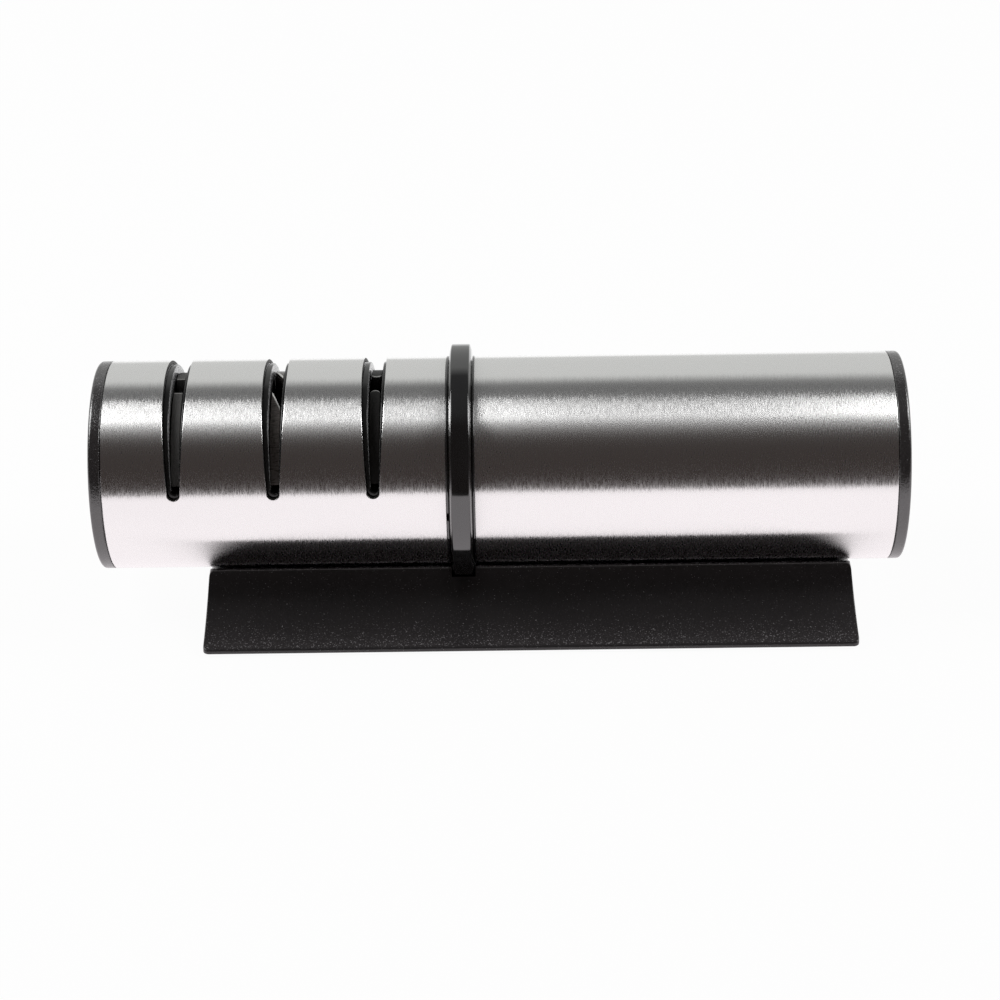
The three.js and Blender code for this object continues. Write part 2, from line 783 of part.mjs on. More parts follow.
// The ends lean in towards the rim. They are rounded there as seen from the side, and at the
// corners as seen from above.
function roundedEnds() {
  const low = baseBottom - shellWall;
  const rimStart = baseStart + baseEndDraft;
  const rimEnd = baseEnd - baseEndDraft;
  const arcHeight = rimHeight - rimEndRadius;
  const lowDraft = baseEndDraft * shellWall / (arcHeight - baseBottom);
  const side = new THREE.Shape();
  side.moveTo(baseEnd + lowDraft, low);
  side.lineTo(rimEnd, arcHeight);
  side.absarc(rimEnd - rimEndRadius, arcHeight, rimEndRadius, 0, Math.PI / 2, false);
  side.absarc(rimStart + rimEndRadius, arcHeight, rimEndRadius, Math.PI / 2, Math.PI, false);
  side.lineTo(baseStart - lowDraft, low);
  const plan = roundedOutline(baseStart, baseEnd, baseHalfDepth, baseCornerRadius);
  const upright = solidOf(extrudedUp(plan, low, rimHeight, arcSegments / 2));
  return solidOf(extrudedAlongY(side, baseHalfDepth, arcSegments / 2)).intersect(upright);
}

function baseShell() {
  const outer = solidOf(extrudedAlongX(flankSection(0, baseBottom), baseStart, baseEnd));
  const past = shellWall;
  const cradle = aboutAxis(cradleRadius, baseStart - past, baseEnd + past);
  const saddle = outer.intersect(roundedEnds()).subtract(cradle);
  const midWall = shellWall / 2;
  const bossRoom = solidOf(extrudedAlongX(flankSection(midWall, baseBottom), baseStart, baseEnd))
    .subtract(aboutAxis(cradleRadius + midWall, baseStart - past, baseEnd + past));
  const bosses = plateScrews
    .map(([station, side]) => {
      const boss = new THREE.CylinderGeometry(plateBossDiameter / 2, plateBossDiameter / 2,
        rimHeight - plateTop, rodSegments).applyMatrix4(turnedAboutZ);
      return solidOf(boss.translate(station, side, (rimHeight + plateTop) / 2)).intersect(bossRoom);
    });
  const withBosses = bosses.reduce((left, boss) => left.add(boss), saddle.subtract(baseHollow()));
  const ringSlot = aboutAxis(ringRadius + pieceFit, ringStart - pieceFit, ringEnd + pieceFit);
  return geometryOf(cutAll(withBosses.subtract(ringSlot), screwTools(plateScrews, plateScrewTip)));
}

function basePlate() {
  const plate = boxBetween(
    [baseStart + shellWall + pieceFit, -plateHalfDepth, baseBottom],
    [baseEnd - shellWall - pieceFit, plateHalfDepth, plateTop],
  );
  const tools = [...screwTools(plateScrews, plateScrewTip), ...screwTools(collarScrews, collarScrewTip)];
  return geometryOf(cutAll(solidOf(plate), tools));
}

function gripStrip() {
  const start = plateScrewStations[0] + stripEndGap;
  const end = plateScrewStations[1] - stripEndGap;
  const outline = roundedOutline(start, end, stripWidth / 2, stripCornerRadius);
  return extrudedUp(outline, 0, stripThickness, arcSegments / 2);
}

// Collar ring: bevelled at both edges, with a foot that stands on the plate
function collarRing() {
  const bevelRadius = ringRadius - ringBevelRise;
  const flatStart = ringStation - ringFlat / 2;
  const flatEnd = ringStation + ringFlat / 2;
  const ring = closedRing([
    [ringBoreRadius, ringStart],
    [bevelRadius, ringStart],
    [ringRadius, flatStart],
    [ringRadius, flatEnd],
    [bevelRadius, ringEnd],
    [ringBoreRadius, ringEnd],
  ]).translate(0, 0, axisHeight);
  const footTop = axisHeight - ringBoreRadius - collarFootRoot;
  const foot = boxBetween(
    [ringStation - collarFootWidth / 2, -collarFootLength / 2, plateTop],
    [ringStation + collarFootWidth / 2, collarFootLength / 2, footTop],
  );
  const collar = solidOf(ring).add(solidOf(foot));
  return geometryOf(cutAll(collar, screwTools(collarScrews, collarScrewTip)));
}

function addBase(base) {
  addPiece(base, 'base_shell', baseShell(), grainedPlastic);
  addPiece(base, 'base_plate', basePlate(), innerPlastic);
  addPiece(base, 'collar_ring', collarRing(), glossPlastic);
  plateScrews.forEach(([station, side], index) => {
    const screw = addPiece(base, `plate_screw_${index + 1}`, smallScrew(plateScrewTip, 0), zincSteel);
    screw.position.set(station, side, 0);
  });
  collarScrews.forEach(([station, side], index) => {
    const name = `collar_screw_${elementSides[index].name}`;
    const screw = addPiece(base, name, smallScrew(collarScrewTip, 0), zincSteel);
    screw.position.set(station, side, 0);
  });
  elementSides.forEach(({ name, direction }) => {
    const strip = addPiece(base, `grip_strip_${name}`, gripStrip(), rubber);
    strip.position.set(0, direction * stripSide, 0);
  });
}

// Assembly: the base stands on the table, and the body lies along the axis in its cradle
const sharpener = new THREE.Group();
const base = new THREE.Group();
base.position.set(-overallLength / 2, 0, 0);
addBase(base);

const body = new THREE.Group();
body.position.set(-overallLength / 2, 0, axisHeight);
addSleeves(body);
addCaps(body);
addStages(body);
addElements(body);
addTieRods(body);
addHandle(body);

sharpener.add(base, body);

export default sharpener;
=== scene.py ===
"""Looks of the three-slot knife sharpener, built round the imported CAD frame. Metres, +Z up."""

import math

import bmesh
import bpy
import numpy as np
from mathutils import Matrix, Vector


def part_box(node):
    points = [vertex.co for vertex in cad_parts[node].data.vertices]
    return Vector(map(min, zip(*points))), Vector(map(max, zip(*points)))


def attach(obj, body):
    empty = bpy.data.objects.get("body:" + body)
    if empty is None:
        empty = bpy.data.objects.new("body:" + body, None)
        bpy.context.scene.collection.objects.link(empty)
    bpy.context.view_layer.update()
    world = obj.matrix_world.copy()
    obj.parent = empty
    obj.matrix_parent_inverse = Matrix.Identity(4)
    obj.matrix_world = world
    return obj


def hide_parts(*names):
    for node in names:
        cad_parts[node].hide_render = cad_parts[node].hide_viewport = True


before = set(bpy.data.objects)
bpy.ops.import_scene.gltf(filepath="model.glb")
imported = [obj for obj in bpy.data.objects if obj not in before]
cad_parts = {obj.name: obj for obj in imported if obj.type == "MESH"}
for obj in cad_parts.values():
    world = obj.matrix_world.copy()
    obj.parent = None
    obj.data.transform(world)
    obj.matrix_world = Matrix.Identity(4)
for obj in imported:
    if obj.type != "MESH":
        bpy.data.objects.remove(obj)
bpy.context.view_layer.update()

MM = 0.001
WELD = 1e-7
SHARP_ANGLE = math.radians(38)

# Places and sizes that the frame gives
head_low, head_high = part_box("head_sleeve")
handle_low, handle_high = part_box("handle_sleeve")
head_cap_low, head_cap_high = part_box("head_cap")
handle_cap_low, handle_cap_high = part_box("handle_cap")
ring_low, ring_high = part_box("collar_ring")
snap_low, snap_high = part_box("collar_snap_ring")
washer_low, washer_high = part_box("collar_washer")
base_low, base_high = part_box("base_shell")
plate_low, plate_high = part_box("base_plate")
middle_low, middle_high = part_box("stage_2_body")

AXIS_Z = (handle_high.z + handle_low.z) / 2
TUBE_R = (handle_high.z - handle_low.z) / 2
INNER_R = (middle_high.y - middle_low.y) / 2
RING_R = (ring_high.y - ring_low.y) / 2
FLANGE_R = (washer_high.y - washer_low.y) / 2
SLOT_PITCH = middle_high.x - middle_low.x
MIDDLE_SLOT = (middle_high.x + middle_low.x) / 2
SLOT_STATIONS = [MIDDLE_SLOT - SLOT_PITCH, MIDDLE_SLOT, MIDDLE_SLOT + SLOT_PITCH]

# Sizes of the same pieces that a box doesn't give
BORE_R = TUBE_R - 0.8 * MM
RING_BORE_R = INNER_R + 0.3 * MM
RING_BEVEL_R = RING_R - 1.4 * MM
RING_FLAT = 4.3 * MM
CRADLE_R = FLANGE_R + 0.3 * MM
JOINT_EDGE = 0.16 * MM
RUNNING_FIT = 0.3 * MM

# Mesh density
TURN_STEPS = 224
UNDER_STEPS = 64
SIDE_STEPS = 56
END_STEPS = 10
EDGE_STEPS = 4
ARCH_STEPS = 40


class Slot:
    """A tapered knife slot with a round floor. Heights are above the body's axis."""

    def __init__(self, top, bottom, floor):
        self.half_bottom = bottom / 2
        self.floor = floor
        self.shoulder = floor + bottom / 2
        self.taper = (top - bottom) / 2 / (TUBE_R - self.shoulder)

    def rows(self, radius):
        """(angle from the top, half width) along its edge on a cylinder, front end to rear end."""
        rows = [(math.acos(self.floor / radius), 0.0)]
        for step in range(1, END_STEPS):
            turn = math.pi / 2 * (1 - step / END_STEPS)
            height = self.shoulder - self.half_bottom * math.sin(turn)
            rows.append((math.acos(height / radius), self.half_bottom * math.cos(turn)))
        reach = math.acos(self.shoulder / radius)
        for step in range(SIDE_STEPS + 1):
            angle = reach * (1 - step / SIDE_STEPS)
            rise = radius * math.cos(angle) - self.shoulder
            rows.append((angle, self.half_bottom + self.taper * rise))
        return rows + [(-angle, half) for angle, half in reversed(rows[:-1])]

    def loop(self, station, radius):
        """Its edge unrolled: points (x, arc length from the top), and the directions away from it."""
        rows = self.rows(radius)
        left = [(station - half, angle * radius) for angle, half in rows]
        right = [(station + half, angle * radius) for angle, half in reversed(rows[1:-1])]
        points = np.array(left + right)
        tangent = np.roll(points, -1, 0) - np.roll(points, 1, 0)
        tangent /= np.linalg.norm(tangent, axis=1)[:, None]
        return points, np.stack([tangent[:, 1], -tangent[:, 0]], 1)


STEEL_SLOT = Slot(5.5 * MM, 3.0 * MM, 5.0 * MM)
CHANNEL = Slot(3.3 * MM, 2.0 * MM, 5.9 * MM)
CHANNEL_SHIFT = 0.35 * MM
CHANNEL_STATIONS = [station + CHANNEL_SHIFT for station in SLOT_STATIONS]


# Meshes from patches of points

def link(obj):
    bpy.context.scene.collection.objects.link(obj)
    return obj


def smooth(mesh):
    mesh.shade_smooth()
    mesh.set_sharp_from_angle(angle=SHARP_ANGLE)


def piece_from(name, patches, caps=()):
    """One object from patches (points, wraps along rows, wraps along columns) and flat end loops."""
    bm = bmesh.new()
    for points, wrap_rows, wrap_cols in patches:
        rows, cols = points.shape[:2]
        verts = [[bm.verts.new(point) for point in row] for row in points]
        for row in range(rows if wrap_rows else rows - 1):
            here, there = verts[row], verts[(row + 1) % rows]
            for col in range(cols if wrap_cols else cols - 1):
                side = (col + 1) % cols
                bm.faces.new((here[col], here[side], there[side], there[col]))
    for loop in caps:
        bm.faces.new([bm.verts.new(point) for point in loop])
    bmesh.ops.remove_doubles(bm, verts=bm.verts[:], dist=WELD)
    bmesh.ops.dissolve_degenerate(bm, edges=bm.edges[:], dist=WELD)
    bmesh.ops.recalc_face_normals(bm, faces=bm.faces[:])
    mesh = bpy.data.meshes.new(name)
    bm.to_mesh(mesh)
    bm.free()
    smooth(mesh)
    return link(bpy.data.objects.new(name, mesh))


def carve(obj, tools, operation="DIFFERENCE"):
    """Cuts tools from obj, or joins them to it, and keeps only the result."""
    for tool in tools:
        cut = obj.modifiers.new("cut", "BOOLEAN")
        cut.object = tool
        cut.operation = operation
        cut.solver = "EXACT"
    depsgraph = bpy.context.evaluated_depsgraph_get()
    mesh = bpy.data.meshes.new_from_object(obj.evaluated_get(depsgraph))
    obj.modifiers.clear()
    obj.data = mesh
    mesh.name = obj.name
    for tool in tools:
        bpy.data.objects.remove(tool)
    smooth(mesh)
    return obj


def rounded(corners, steps=EDGE_STEPS):
    """A closed outline of (u, v, radius) corners with each corner turned into an arc."""
    points = []
    count = len(corners)
    for index, (u, v, radius) in enumerate(corners):
        here = np.array([u, v])
        back = np.array(corners[index - 1][:2]) - here
        ahead = np.array(corners[(index + 1) % count][:2]) - here
        if radius == 0:
            points.append(here)
            continue
        back /= np.linalg.norm(back)
        ahead /= np.linalg.norm(ahead)
        half = math.acos(np.clip(back @ ahead, -1, 1)) / 2
        bisector = (back + ahead) / np.linalg.norm(back + ahead)
        centre = here + bisector * radius / math.sin(half)
        first = here + back * radius / math.tan(half) - centre
        last = here + ahead * radius / math.tan(half) - centre
        sweep = math.pi - 2 * half
        for step in range(steps + 1):
            share = step / steps
            mix = first * math.sin((1 - share) * sweep) + last * math.sin(share * sweep)
            points.append(centre + mix / math.sin(sweep))
    return points


def lathe(profile, start=0.0, end=None, steps=TURN_STEPS, closed=True):
    """A patch of (x, radius) points turned about the body's axis, from the top towards the front."""
    full = end is None
    angles = np.linspace(start, start + 2 * math.pi if full else end, steps, endpoint=not full)
    profile = np.array(profile)
    x = np.broadcast_to(profile[:, 0], (len(angles), len(profile)))
    y = -np.outer(np.sin(angles), profile[:, 1])
    z = AXIS_Z + np.outer(np.cos(angles), profile[:, 1])
    return np.stack([x, y, z], 2), full, closed


def on_cylinder(flat, radius, unrolled_radius):
    """Unrolled points (x, arc length) put on a cylinder about the body's axis."""
    angle = flat[..., 1] / unrolled_radius
    parts = [flat[..., 0], -radius * np.sin(angle), AXIS_Z + radius * np.cos(angle)]
    return np.stack(parts, -1)


def edge_patch(slot, station, radius, edge, inner=None):
    """The rounded edge of a slot, with its wall down to an inner cylinder where there is one."""
    points, away = slot.loop(station, radius)
    rings = []
    for step in range(EDGE_STEPS + 1):
        turn = math.pi / 2 * step / EDGE_STEPS
        flat = points + away * edge * (1 - math.sin(turn))
        rings.append(on_cylinder(flat, radius - edge * (1 - math.cos(turn)), radius))
    if inner is not None:
        flat, _ = slot.loop(station, inner)
        rings.append(on_cylinder(flat, inner, inner))
    return np.stack(rings, 1)


def inset(outline, depth):
    """A closed outline moved inwards. It runs anticlockwise."""
    tangent = np.roll(outline, -1, 0) - np.roll(outline, 1, 0)
    tangent /= np.linalg.norm(tangent, axis=1)[:, None]
    return outline - np.stack([tangent[:, 1], -tangent[:, 0]], 1) * depth


def columns(width, support, count=8):
    """Shares across a strip, with a close column at each side that keeps the shading true."""
    near = support / width
    return np.concatenate([[0], np.linspace(near, 1 - near, count), [1]])


def skin_patches(radius, start, end, slot, stations, edge):
    """The skin of a cylinder round its slots, from the start to the end, as strips."""
    angles = [angle for angle, _ in slot.rows(radius)]
    count = len(angles)
    reach = angles[0]
    under = [-reach - (2 * math.pi - 2 * reach) * step / UNDER_STEPS for step in range(1, UNDER_STEPS)]
    arcs = np.array(angles + under) * radius
    sides = [np.stack([np.full(len(arcs), start), arcs], 1)]
    for station in stations:
        points, away = slot.loop(station, radius)
        points = points + away * edge
        below = np.stack([np.full(len(under), station), arcs[count:]], 1)
        right = np.concatenate([points[:1], points[:count - 1:-1], points[count - 1:count]])
        sides += [np.concatenate([points[:count], below]), np.concatenate([right, below])]
    sides.append(np.stack([np.full(len(arcs), end), arcs], 1))
    patches = []
    for left, right in zip(sides[::2], sides[1::2]):
        share = columns(np.min(right[:, 0] - left[:, 0]), 0.06 * MM)[None, :, None]
        flat = left[:, None, :] * (1 - share) + right[:, None, :] * share
        patches.append((on_cylinder(flat, radius, radius), True, False))
    return patches


def bar(name, start, end, place, radius, steps=32):
    """A round bar along X at a place (y, z), used as a tool."""
    angles = np.linspace(0, 2 * math.pi, steps, endpoint=False)
    loops = [[(x, place[0] + radius * math.cos(angle), place[1] + radius * math.sin(angle))
              for angle in angles] for x in (start, end)]
    return piece_from(name, [(np.array(loops), False, True)], loops)


def upright(profile, place, steps=40):
    """A patch of (radius, height) points turned about an upright line at a place (x, y)."""
    angles = np.linspace(0, 2 * math.pi, steps, endpoint=False)
    points = [[(place[0] + radius * math.cos(angle), place[1] + radius * math.sin(angle), height)
               for radius, height in profile] for angle in angles]
    return np.array(points), True, False


def post(name, place, radius, low, high):
    """A round post at a place (x, y), used as a tool."""
    return piece_from(name, [upright([(0, low), (radius, low), (radius, high), (0, high)], place)])


def box_piece(name, low, high):
    """A plain block, used only as a tool or as a root that another piece takes in."""
    x, y, z = zip(low, high)
    loop = [(x[0], y[0]), (x[1], y[0]), (x[1], y[1]), (x[0], y[1])]
    rows = [[(u, v, height) for u, v in loop] for height in z]
    return piece_from(name, [(np.array(rows), False, True)], rows)


def centre_of(node):
    low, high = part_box(node)
    return (low + high) / 2


FIT = 0.3 * MM
SIDES = (("front", -1), ("rear", 1))
TIE_HOLE_R = 1.8 * MM


def tie_holes(start, end):
    places = [centre_of(f"head_tie_rod_{side}") for side, _ in SIDES]
    return [bar("tie_hole", start, end, (place.y, place.z), TIE_HOLE_R) for place in places]


# Steel sleeves

def slotted_sleeve(name, start, end):
    edge = 0.14 * MM
    inside = skin_patches(BORE_R, start, end, STEEL_SLOT, SLOT_STATIONS, 0)
    outside = skin_patches(TUBE_R, start + JOINT_EDGE, end - JOINT_EDGE, STEEL_SLOT, SLOT_STATIONS, edge)
    walls = [(edge_patch(STEEL_SLOT, station, TUBE_R, edge, BORE_R), True, False)
             for station in SLOT_STATIONS]
    ends = []
    for station, outer, inner in ((start, outside[0][0][:, 0], inside[0][0][:, 0]),
                                  (end, outside[-1][0][:, -1], inside[-1][0][:, -1])):
        rim = outer.copy()
        rim[:, 0] = station
        rim[:, 1] *= 1 - JOINT_EDGE / TUBE_R
        rim[:, 2] = AXIS_Z + (rim[:, 2] - AXIS_Z) * (1 - JOINT_EDGE / TUBE_R)
        ends.append((np.stack([outer, rim, inner], 1), True, False))
    return piece_from(name, outside + inside + walls + ends)


def plain_ring(name, start, end, inner, outer, edge):
    corners = [(start, inner, 0), (start, outer, edge), (end, outer, edge), (end, inner, 0)]
    return piece_from(name, [lathe(rounded(corners))])


# Sharpening bars, arched under the steel, each with a tang. Heights are above the body's axis.
ARCH_R = TUBE_R - 3.0 * MM
ARCH_HEIGHT = 6.0 * MM
ARCH_END = math.radians(8)
ARCH_BOTTOM = CHANNEL.floor + 0.9 * MM
TANG_INNER = 2.2 * MM
TANG_OUTER = 5.2 * MM
TANG_FOOT = -0.3 * MM
BAR_WIDTHS = {1: 2.1 * MM, 2: 2.2 * MM, 3: 2.4 * MM}
BAR_EDGE = 0.1 * MM
BLADE_SLANT = math.radians(22)
LAND_LENGTHS = {1: 0.4 * MM, 2: 1.0 * MM, 3: 0.4 * MM}
LAND_DEPTH = 0.16 * MM


def end_setback(number, across):
    """How far along the arch the upper end lies back at a place across the bar: flat, slanted or round."""
    half = BAR_WIDTHS[number] / 2
    if number == 2:
        return (across + half) / math.tan(BLADE_SLANT)
    if number == 3:
        return half - math.sqrt(max(half ** 2 - across ** 2, 0))
    return 0.0


def arch_outline(setback, land, grow):
    """The side view (y, z) of a front bar, from the ground land at its upper end down to its tang."""
    radius, bottom = ARCH_R + grow, ARCH_BOTTOM - grow
    first = ARCH_END + (setback - grow) / ARCH_R
    inner = ARCH_R - ARCH_HEIGHT
    turns = np.linspace(first + land / ARCH_R, math.acos(bottom / radius), ARCH_STEPS)
    points = [((radius - LAND_DEPTH) * math.sin(first), (radius - LAND_DEPTH) * math.cos(first))]
    points += [(radius * math.sin(turn), radius * math.cos(turn)) for turn in turns]
    points += [(TANG_OUTER + grow, bottom), (TANG_OUTER + grow, TANG_FOOT - grow),
               (TANG_INNER - grow, TANG_FOOT - grow), (inner * math.sin(first), inner * math.cos(first))]
    return np.array([(-side, AXIS_Z + height) for side, height in points])


def arch_bar(name, number, direction, grow=0.0):
    """One bar of a pair. The rear one is the front one turned half round."""
    half = BAR_WIDTHS[number] / 2 + grow
    turns = np.linspace(0, math.pi / 2, EDGE_STEPS + 1)
    soft = [(half - BAR_EDGE * (1 - math.sin(turn)), BAR_EDGE * (1 - math.cos(turn))) for turn in turns]
    flat = [(across, 0.0) for across in np.linspace(BAR_EDGE - half, half - BAR_EDGE, 17)[1:-1]]
    rows = []
    for across, shrink in [(-across, shrink) for across, shrink in reversed(soft)] + flat + soft:
        outline = arch_outline(end_setback(number, across), LAND_LENGTHS[number], grow)
        outline = inset(outline, shrink)
        rows.append(np.column_stack([np.full(len(outline), across), outline]))
    points = np.array(rows)
    if direction > 0:
        points[..., :2] *= -1
    points[..., 0] += CHANNEL_STATIONS[number - 1]
    return piece_from(name, [(points, False, True)], [points[0], points[-1]])


def darken_cuts(obj):
    """Gives the walls of the steel's slots the second material of the sleeve, their painted shade."""
    for face in obj.data.polygons:
        radius = math.hypot(face.center.y, face.center.z - AXIS_Z)
        inside = BORE_R + 0.05 * MM < radius < TUBE_R - 0.03 * MM
        if inside and head_low.x + MM < face.center.x < head_high.x - MM:
            face.material_index = 1


def grind_land(obj, number):
    """Gives the land at a bar's upper end the second material of the bar."""
    reach = BAR_WIDTHS[number] / 2 - BAR_EDGE
    for face in obj.data.polygons:
        radius = math.hypot(face.center.y, face.center.z - AXIS_Z)
        across = abs(face.center.x - CHANNEL_STATIONS[number - 1])
        if ARCH_R - LAND_DEPTH < radius < ARCH_R - LAND_DEPTH / 5 and across < reach:
            face.material_index = 1


# Stage blocks with their knife channels
HOLDER_SCREW_HOLE_R = 1.35 * MM
GROOVE_WIDTH = 0.16 * MM
GROOVE_SHIFT = 0.13 * MM
GROOVE_DEPTH = 0.6 * MM


def stage_tools(number, low, high):
    """What a block leaves room for: the holder in its pocket, its screws, the pair and the tie rods."""
    holder_low, holder_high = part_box(f"stage_{number}_holder")
    tools = [box_piece("pocket", (holder_low.x - FIT, holder_low.y - FIT, AXIS_Z - TUBE_R),
                       (holder_high.x + FIT, holder_high.y + FIT, holder_high.z))]
    for side, direction in SIDES:
        screw_low, screw_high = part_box(f"holder_screw_{number}_{side}")
        place = centre_of(f"holder_screw_{number}_{side}")
        tools.append(post("screw_hole", (place.x, place.y), HOLDER_SCREW_HOLE_R,
                          screw_low.z - FIT, screw_high.z + FIT))
        tools.append(arch_bar(f"socket_{side}", number, direction, FIT))
    return tools + tie_holes(low.x - MM, high.x + MM)


def rim_groove(station):
    """The dark line between the steel's edge and the block's rim, wider on the head side."""
    outer, away = STEEL_SLOT.loop(station, INNER_R)
    outer = outer + away * 0.1 * MM
    inner, away = STEEL_SLOT.loop(station + GROOVE_SHIFT, INNER_R)
    inner = inner - away * GROOVE_WIDTH
    low, high = INNER_R - GROOVE_DEPTH, INNER_R + 0.1 * MM
    rings = [on_cylinder(flat, radius, INNER_R)
             for flat, radius in ((outer, low), (outer, high), (inner, high), (inner, low))]
    return piece_from("groove", [(np.stack(rings, 1), True, True)])


def stage_block(name, number, station):
    low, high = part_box(f"stage_{number}_body")
    edge = 0.28 * MM
    chamfer = 0.3 * MM
    patches = skin_patches(INNER_R, low.x + chamfer, high.x - chamfer, CHANNEL, [station], edge)
    rings = edge_patch(CHANNEL, station, INNER_R, edge)
    patches.append((rings, True, False))
    rows = len(CHANNEL.rows(INNER_R))
    top = rows // 2
    inner = rings[:, -1]
    left = inner[:rows]
    right = np.concatenate([inner[:1], inner[:rows - 1:-1], inner[rows - 1:rows]])
    share = np.linspace(0, 1, 9)[None, :, None]
    for side in (left, right):
        front = side[:top + 1, None, :]
        rear = side[::-1][:top + 1, None, :]
        patches.append((front * (1 - share) + rear * share, False, False))
    for outer, station_x in ((patches[0][0][:, 0], low.x), (patches[1][0][:, -1], high.x)):
        shares = [1, 1 - chamfer / INNER_R, 0.5, 0]
        disc = np.stack([np.stack([np.full(len(outer), station_x), outer[:, 1] * share_r,
                                   AXIS_Z + (outer[:, 2] - AXIS_Z) * share_r], 1)
                         for share_r in shares], 1)
        disc[:, 0, 0] = outer[:, 0]
        patches.append((disc, True, False))
    tools = stage_tools(number, low, high) + [rim_groove(station - CHANNEL_SHIFT)]
    return carve(piece_from(name, patches), tools)


# End caps
CAP_GAP = 0.18 * MM

def cap_rim(outer, joint):
    """The profile (x, radius) from the middle of an end face to the joint with the steel."""
    inward = 1 if joint > outer else -1
    joint -= inward * CAP_GAP
    edge = 0.8 * MM
    profile = [(outer, 0), (outer, TUBE_R * 0.5)]
    profile += [(outer + inward * edge * (1 - math.cos(turn)), TUBE_R - edge * (1 - math.sin(turn)))
                for turn in np.linspace(0, math.pi / 2, 9)]
    profile += [(joint - inward * JOINT_EDGE, TUBE_R), (joint, TUBE_R - JOINT_EDGE), (joint, INNER_R)]
    return profile


def head_end_cap(name):
    joint, spigot = head_low.x, head_cap_high.x
    profile = cap_rim(head_cap_low.x, joint)
    profile += [(spigot - JOINT_EDGE, INNER_R), (spigot, INNER_R - JOINT_EDGE), (spigot, 0)]
    rod_low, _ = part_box("head_tie_rod_front")
    return carve(piece_from(name, [lathe(profile, closed=False)]), tie_holes(rod_low.x - FIT, spigot + MM))


def handle_end_cap(name):
    joint, spigot = handle_high.x, handle_cap_low.x
    bore_r, boss_r, socket_r = INNER_R - 3.0 * MM, 6.5 * MM, 2.25 * MM
    profile = cap_rim(handle_cap_high.x, joint)
    profile += [(spigot + JOINT_EDGE, INNER_R), (spigot, INNER_R - JOINT_EDGE), (spigot, bore_r),
                (joint, bore_r), (joint, boss_r), (spigot, boss_r), (spigot, socket_r),
                (joint, socket_r), (joint, 0)]
    return piece_from(name, [lathe(profile, closed=False)])


# Collar
COLLAR_HOLE_R = 1.35 * MM


def collar():
    middle = (ring_low.x + ring_high.x) / 2
    corners = [
        (ring_low.x, RING_BORE_R, 0.2 * MM),
        (ring_low.x, RING_BEVEL_R, 0.3 * MM),
        (middle - RING_FLAT / 2, RING_R, 0.35 * MM),
        (middle + RING_FLAT / 2, RING_R, 0.35 * MM),
        (ring_high.x, RING_BEVEL_R, 0.3 * MM),
        (ring_high.x, RING_BORE_R, 0.2 * MM),
    ]
    ring = piece_from("collar", [lathe(rounded(corners))])
    half_width, half_length = 2.3 * MM, 9.0 * MM
    foot_top = AXIS_Z - RING_BORE_R - 0.8 * MM
    foot = box_piece("foot", (middle - half_width, -half_length, plate_high.z),
                     (middle + half_width, half_length, foot_top))
    carve(ring, [foot], "UNION")
    screws = [f"collar_screw_{side}" for side, _ in SIDES]
    holes = [post("screw_hole", (centre_of(node).x, centre_of(node).y), COLLAR_HOLE_R,
                  plate_high.z - MM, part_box(node)[1].z + FIT) for node in screws]
    return carve(ring, holes)


def split_ring(name):
    split = 1.1 * MM / FLANGE_R
    quarter = math.pi / 2
    inner = INNER_R - 0.8 * MM
    edge = 0.12 * MM
    corners = [(snap_low.x, inner, 0), (snap_low.x, FLANGE_R, edge),
               (snap_high.x, FLANGE_R, edge), (snap_high.x, inner, 0)]
    points, _, _ = lathe(rounded(corners), quarter + split, quarter - split + 2 * math.pi)
    return piece_from(name, [(points, False, True)], [points[0], points[-1]])


# Saddle base
PLATE_SCREWS = [f"plate_screw_{number}" for number in (1, 2, 3, 4)]
BASE_SCREWS = PLATE_SCREWS + ["collar_screw_front", "collar_screw_rear"]
RIM_INNER = CRADLE_R * math.sin(math.radians(38))
RIM_OUTER = RIM_INNER + 0.9 * MM
RIM_Z = AXIS_Z - CRADLE_R * math.cos(math.radians(38))
TOE_Z = 2.0 * MM
HALF_DEPTH = base_high.y
FLANK_R = 40.0 * MM
RIM_END_R = 1.2 * MM
CORNER_R = 1.5 * MM
END_EDGE = 0.25 * MM
END_DRAFT = 0.6 * MM
SHELL_WALL = 2.0 * MM
BOSS_R = 3.0 * MM
BOSS_HOLE_R = 1.35 * MM
SECTION_STEPS = 40


def flank_centre():
    rim, toe = np.array([RIM_OUTER, RIM_Z]), np.array([HALF_DEPTH, TOE_Z])
    chord = toe - rim
    length = np.linalg.norm(chord)
    outward = np.array([-chord[1], chord[0]]) / length
    return (rim + toe) / 2 + outward * math.sqrt(FLANK_R ** 2 - length ** 2 / 4)


FLANK = flank_centre()


def flank_z(side):
    return FLANK[1] - math.sqrt(FLANK_R ** 2 - (side - FLANK[0]) ** 2)


def flank_side(height):
    return FLANK[0] - math.sqrt(FLANK_R ** 2 - (height - FLANK[1]) ** 2)


def arc_drop(distance, radius):
    """How far a rounded corner has fallen at a distance from its end."""
    reach = max(radius - distance, 0)
    return radius - math.sqrt(radius ** 2 - reach ** 2)


def resample(points, count, trim_start, trim_end):
    """Evenly spaced points on a polyline, with a length left off at each end."""
    points = np.array(points)
    run = np.concatenate([[0], np.cumsum(np.linalg.norm(np.diff(points, axis=0), axis=1))])
    at = np.linspace(trim_start, run[-1] - trim_end, count)
    return np.stack([np.interp(at, run, points[:, axis]) for axis in (0, 1)], 1)


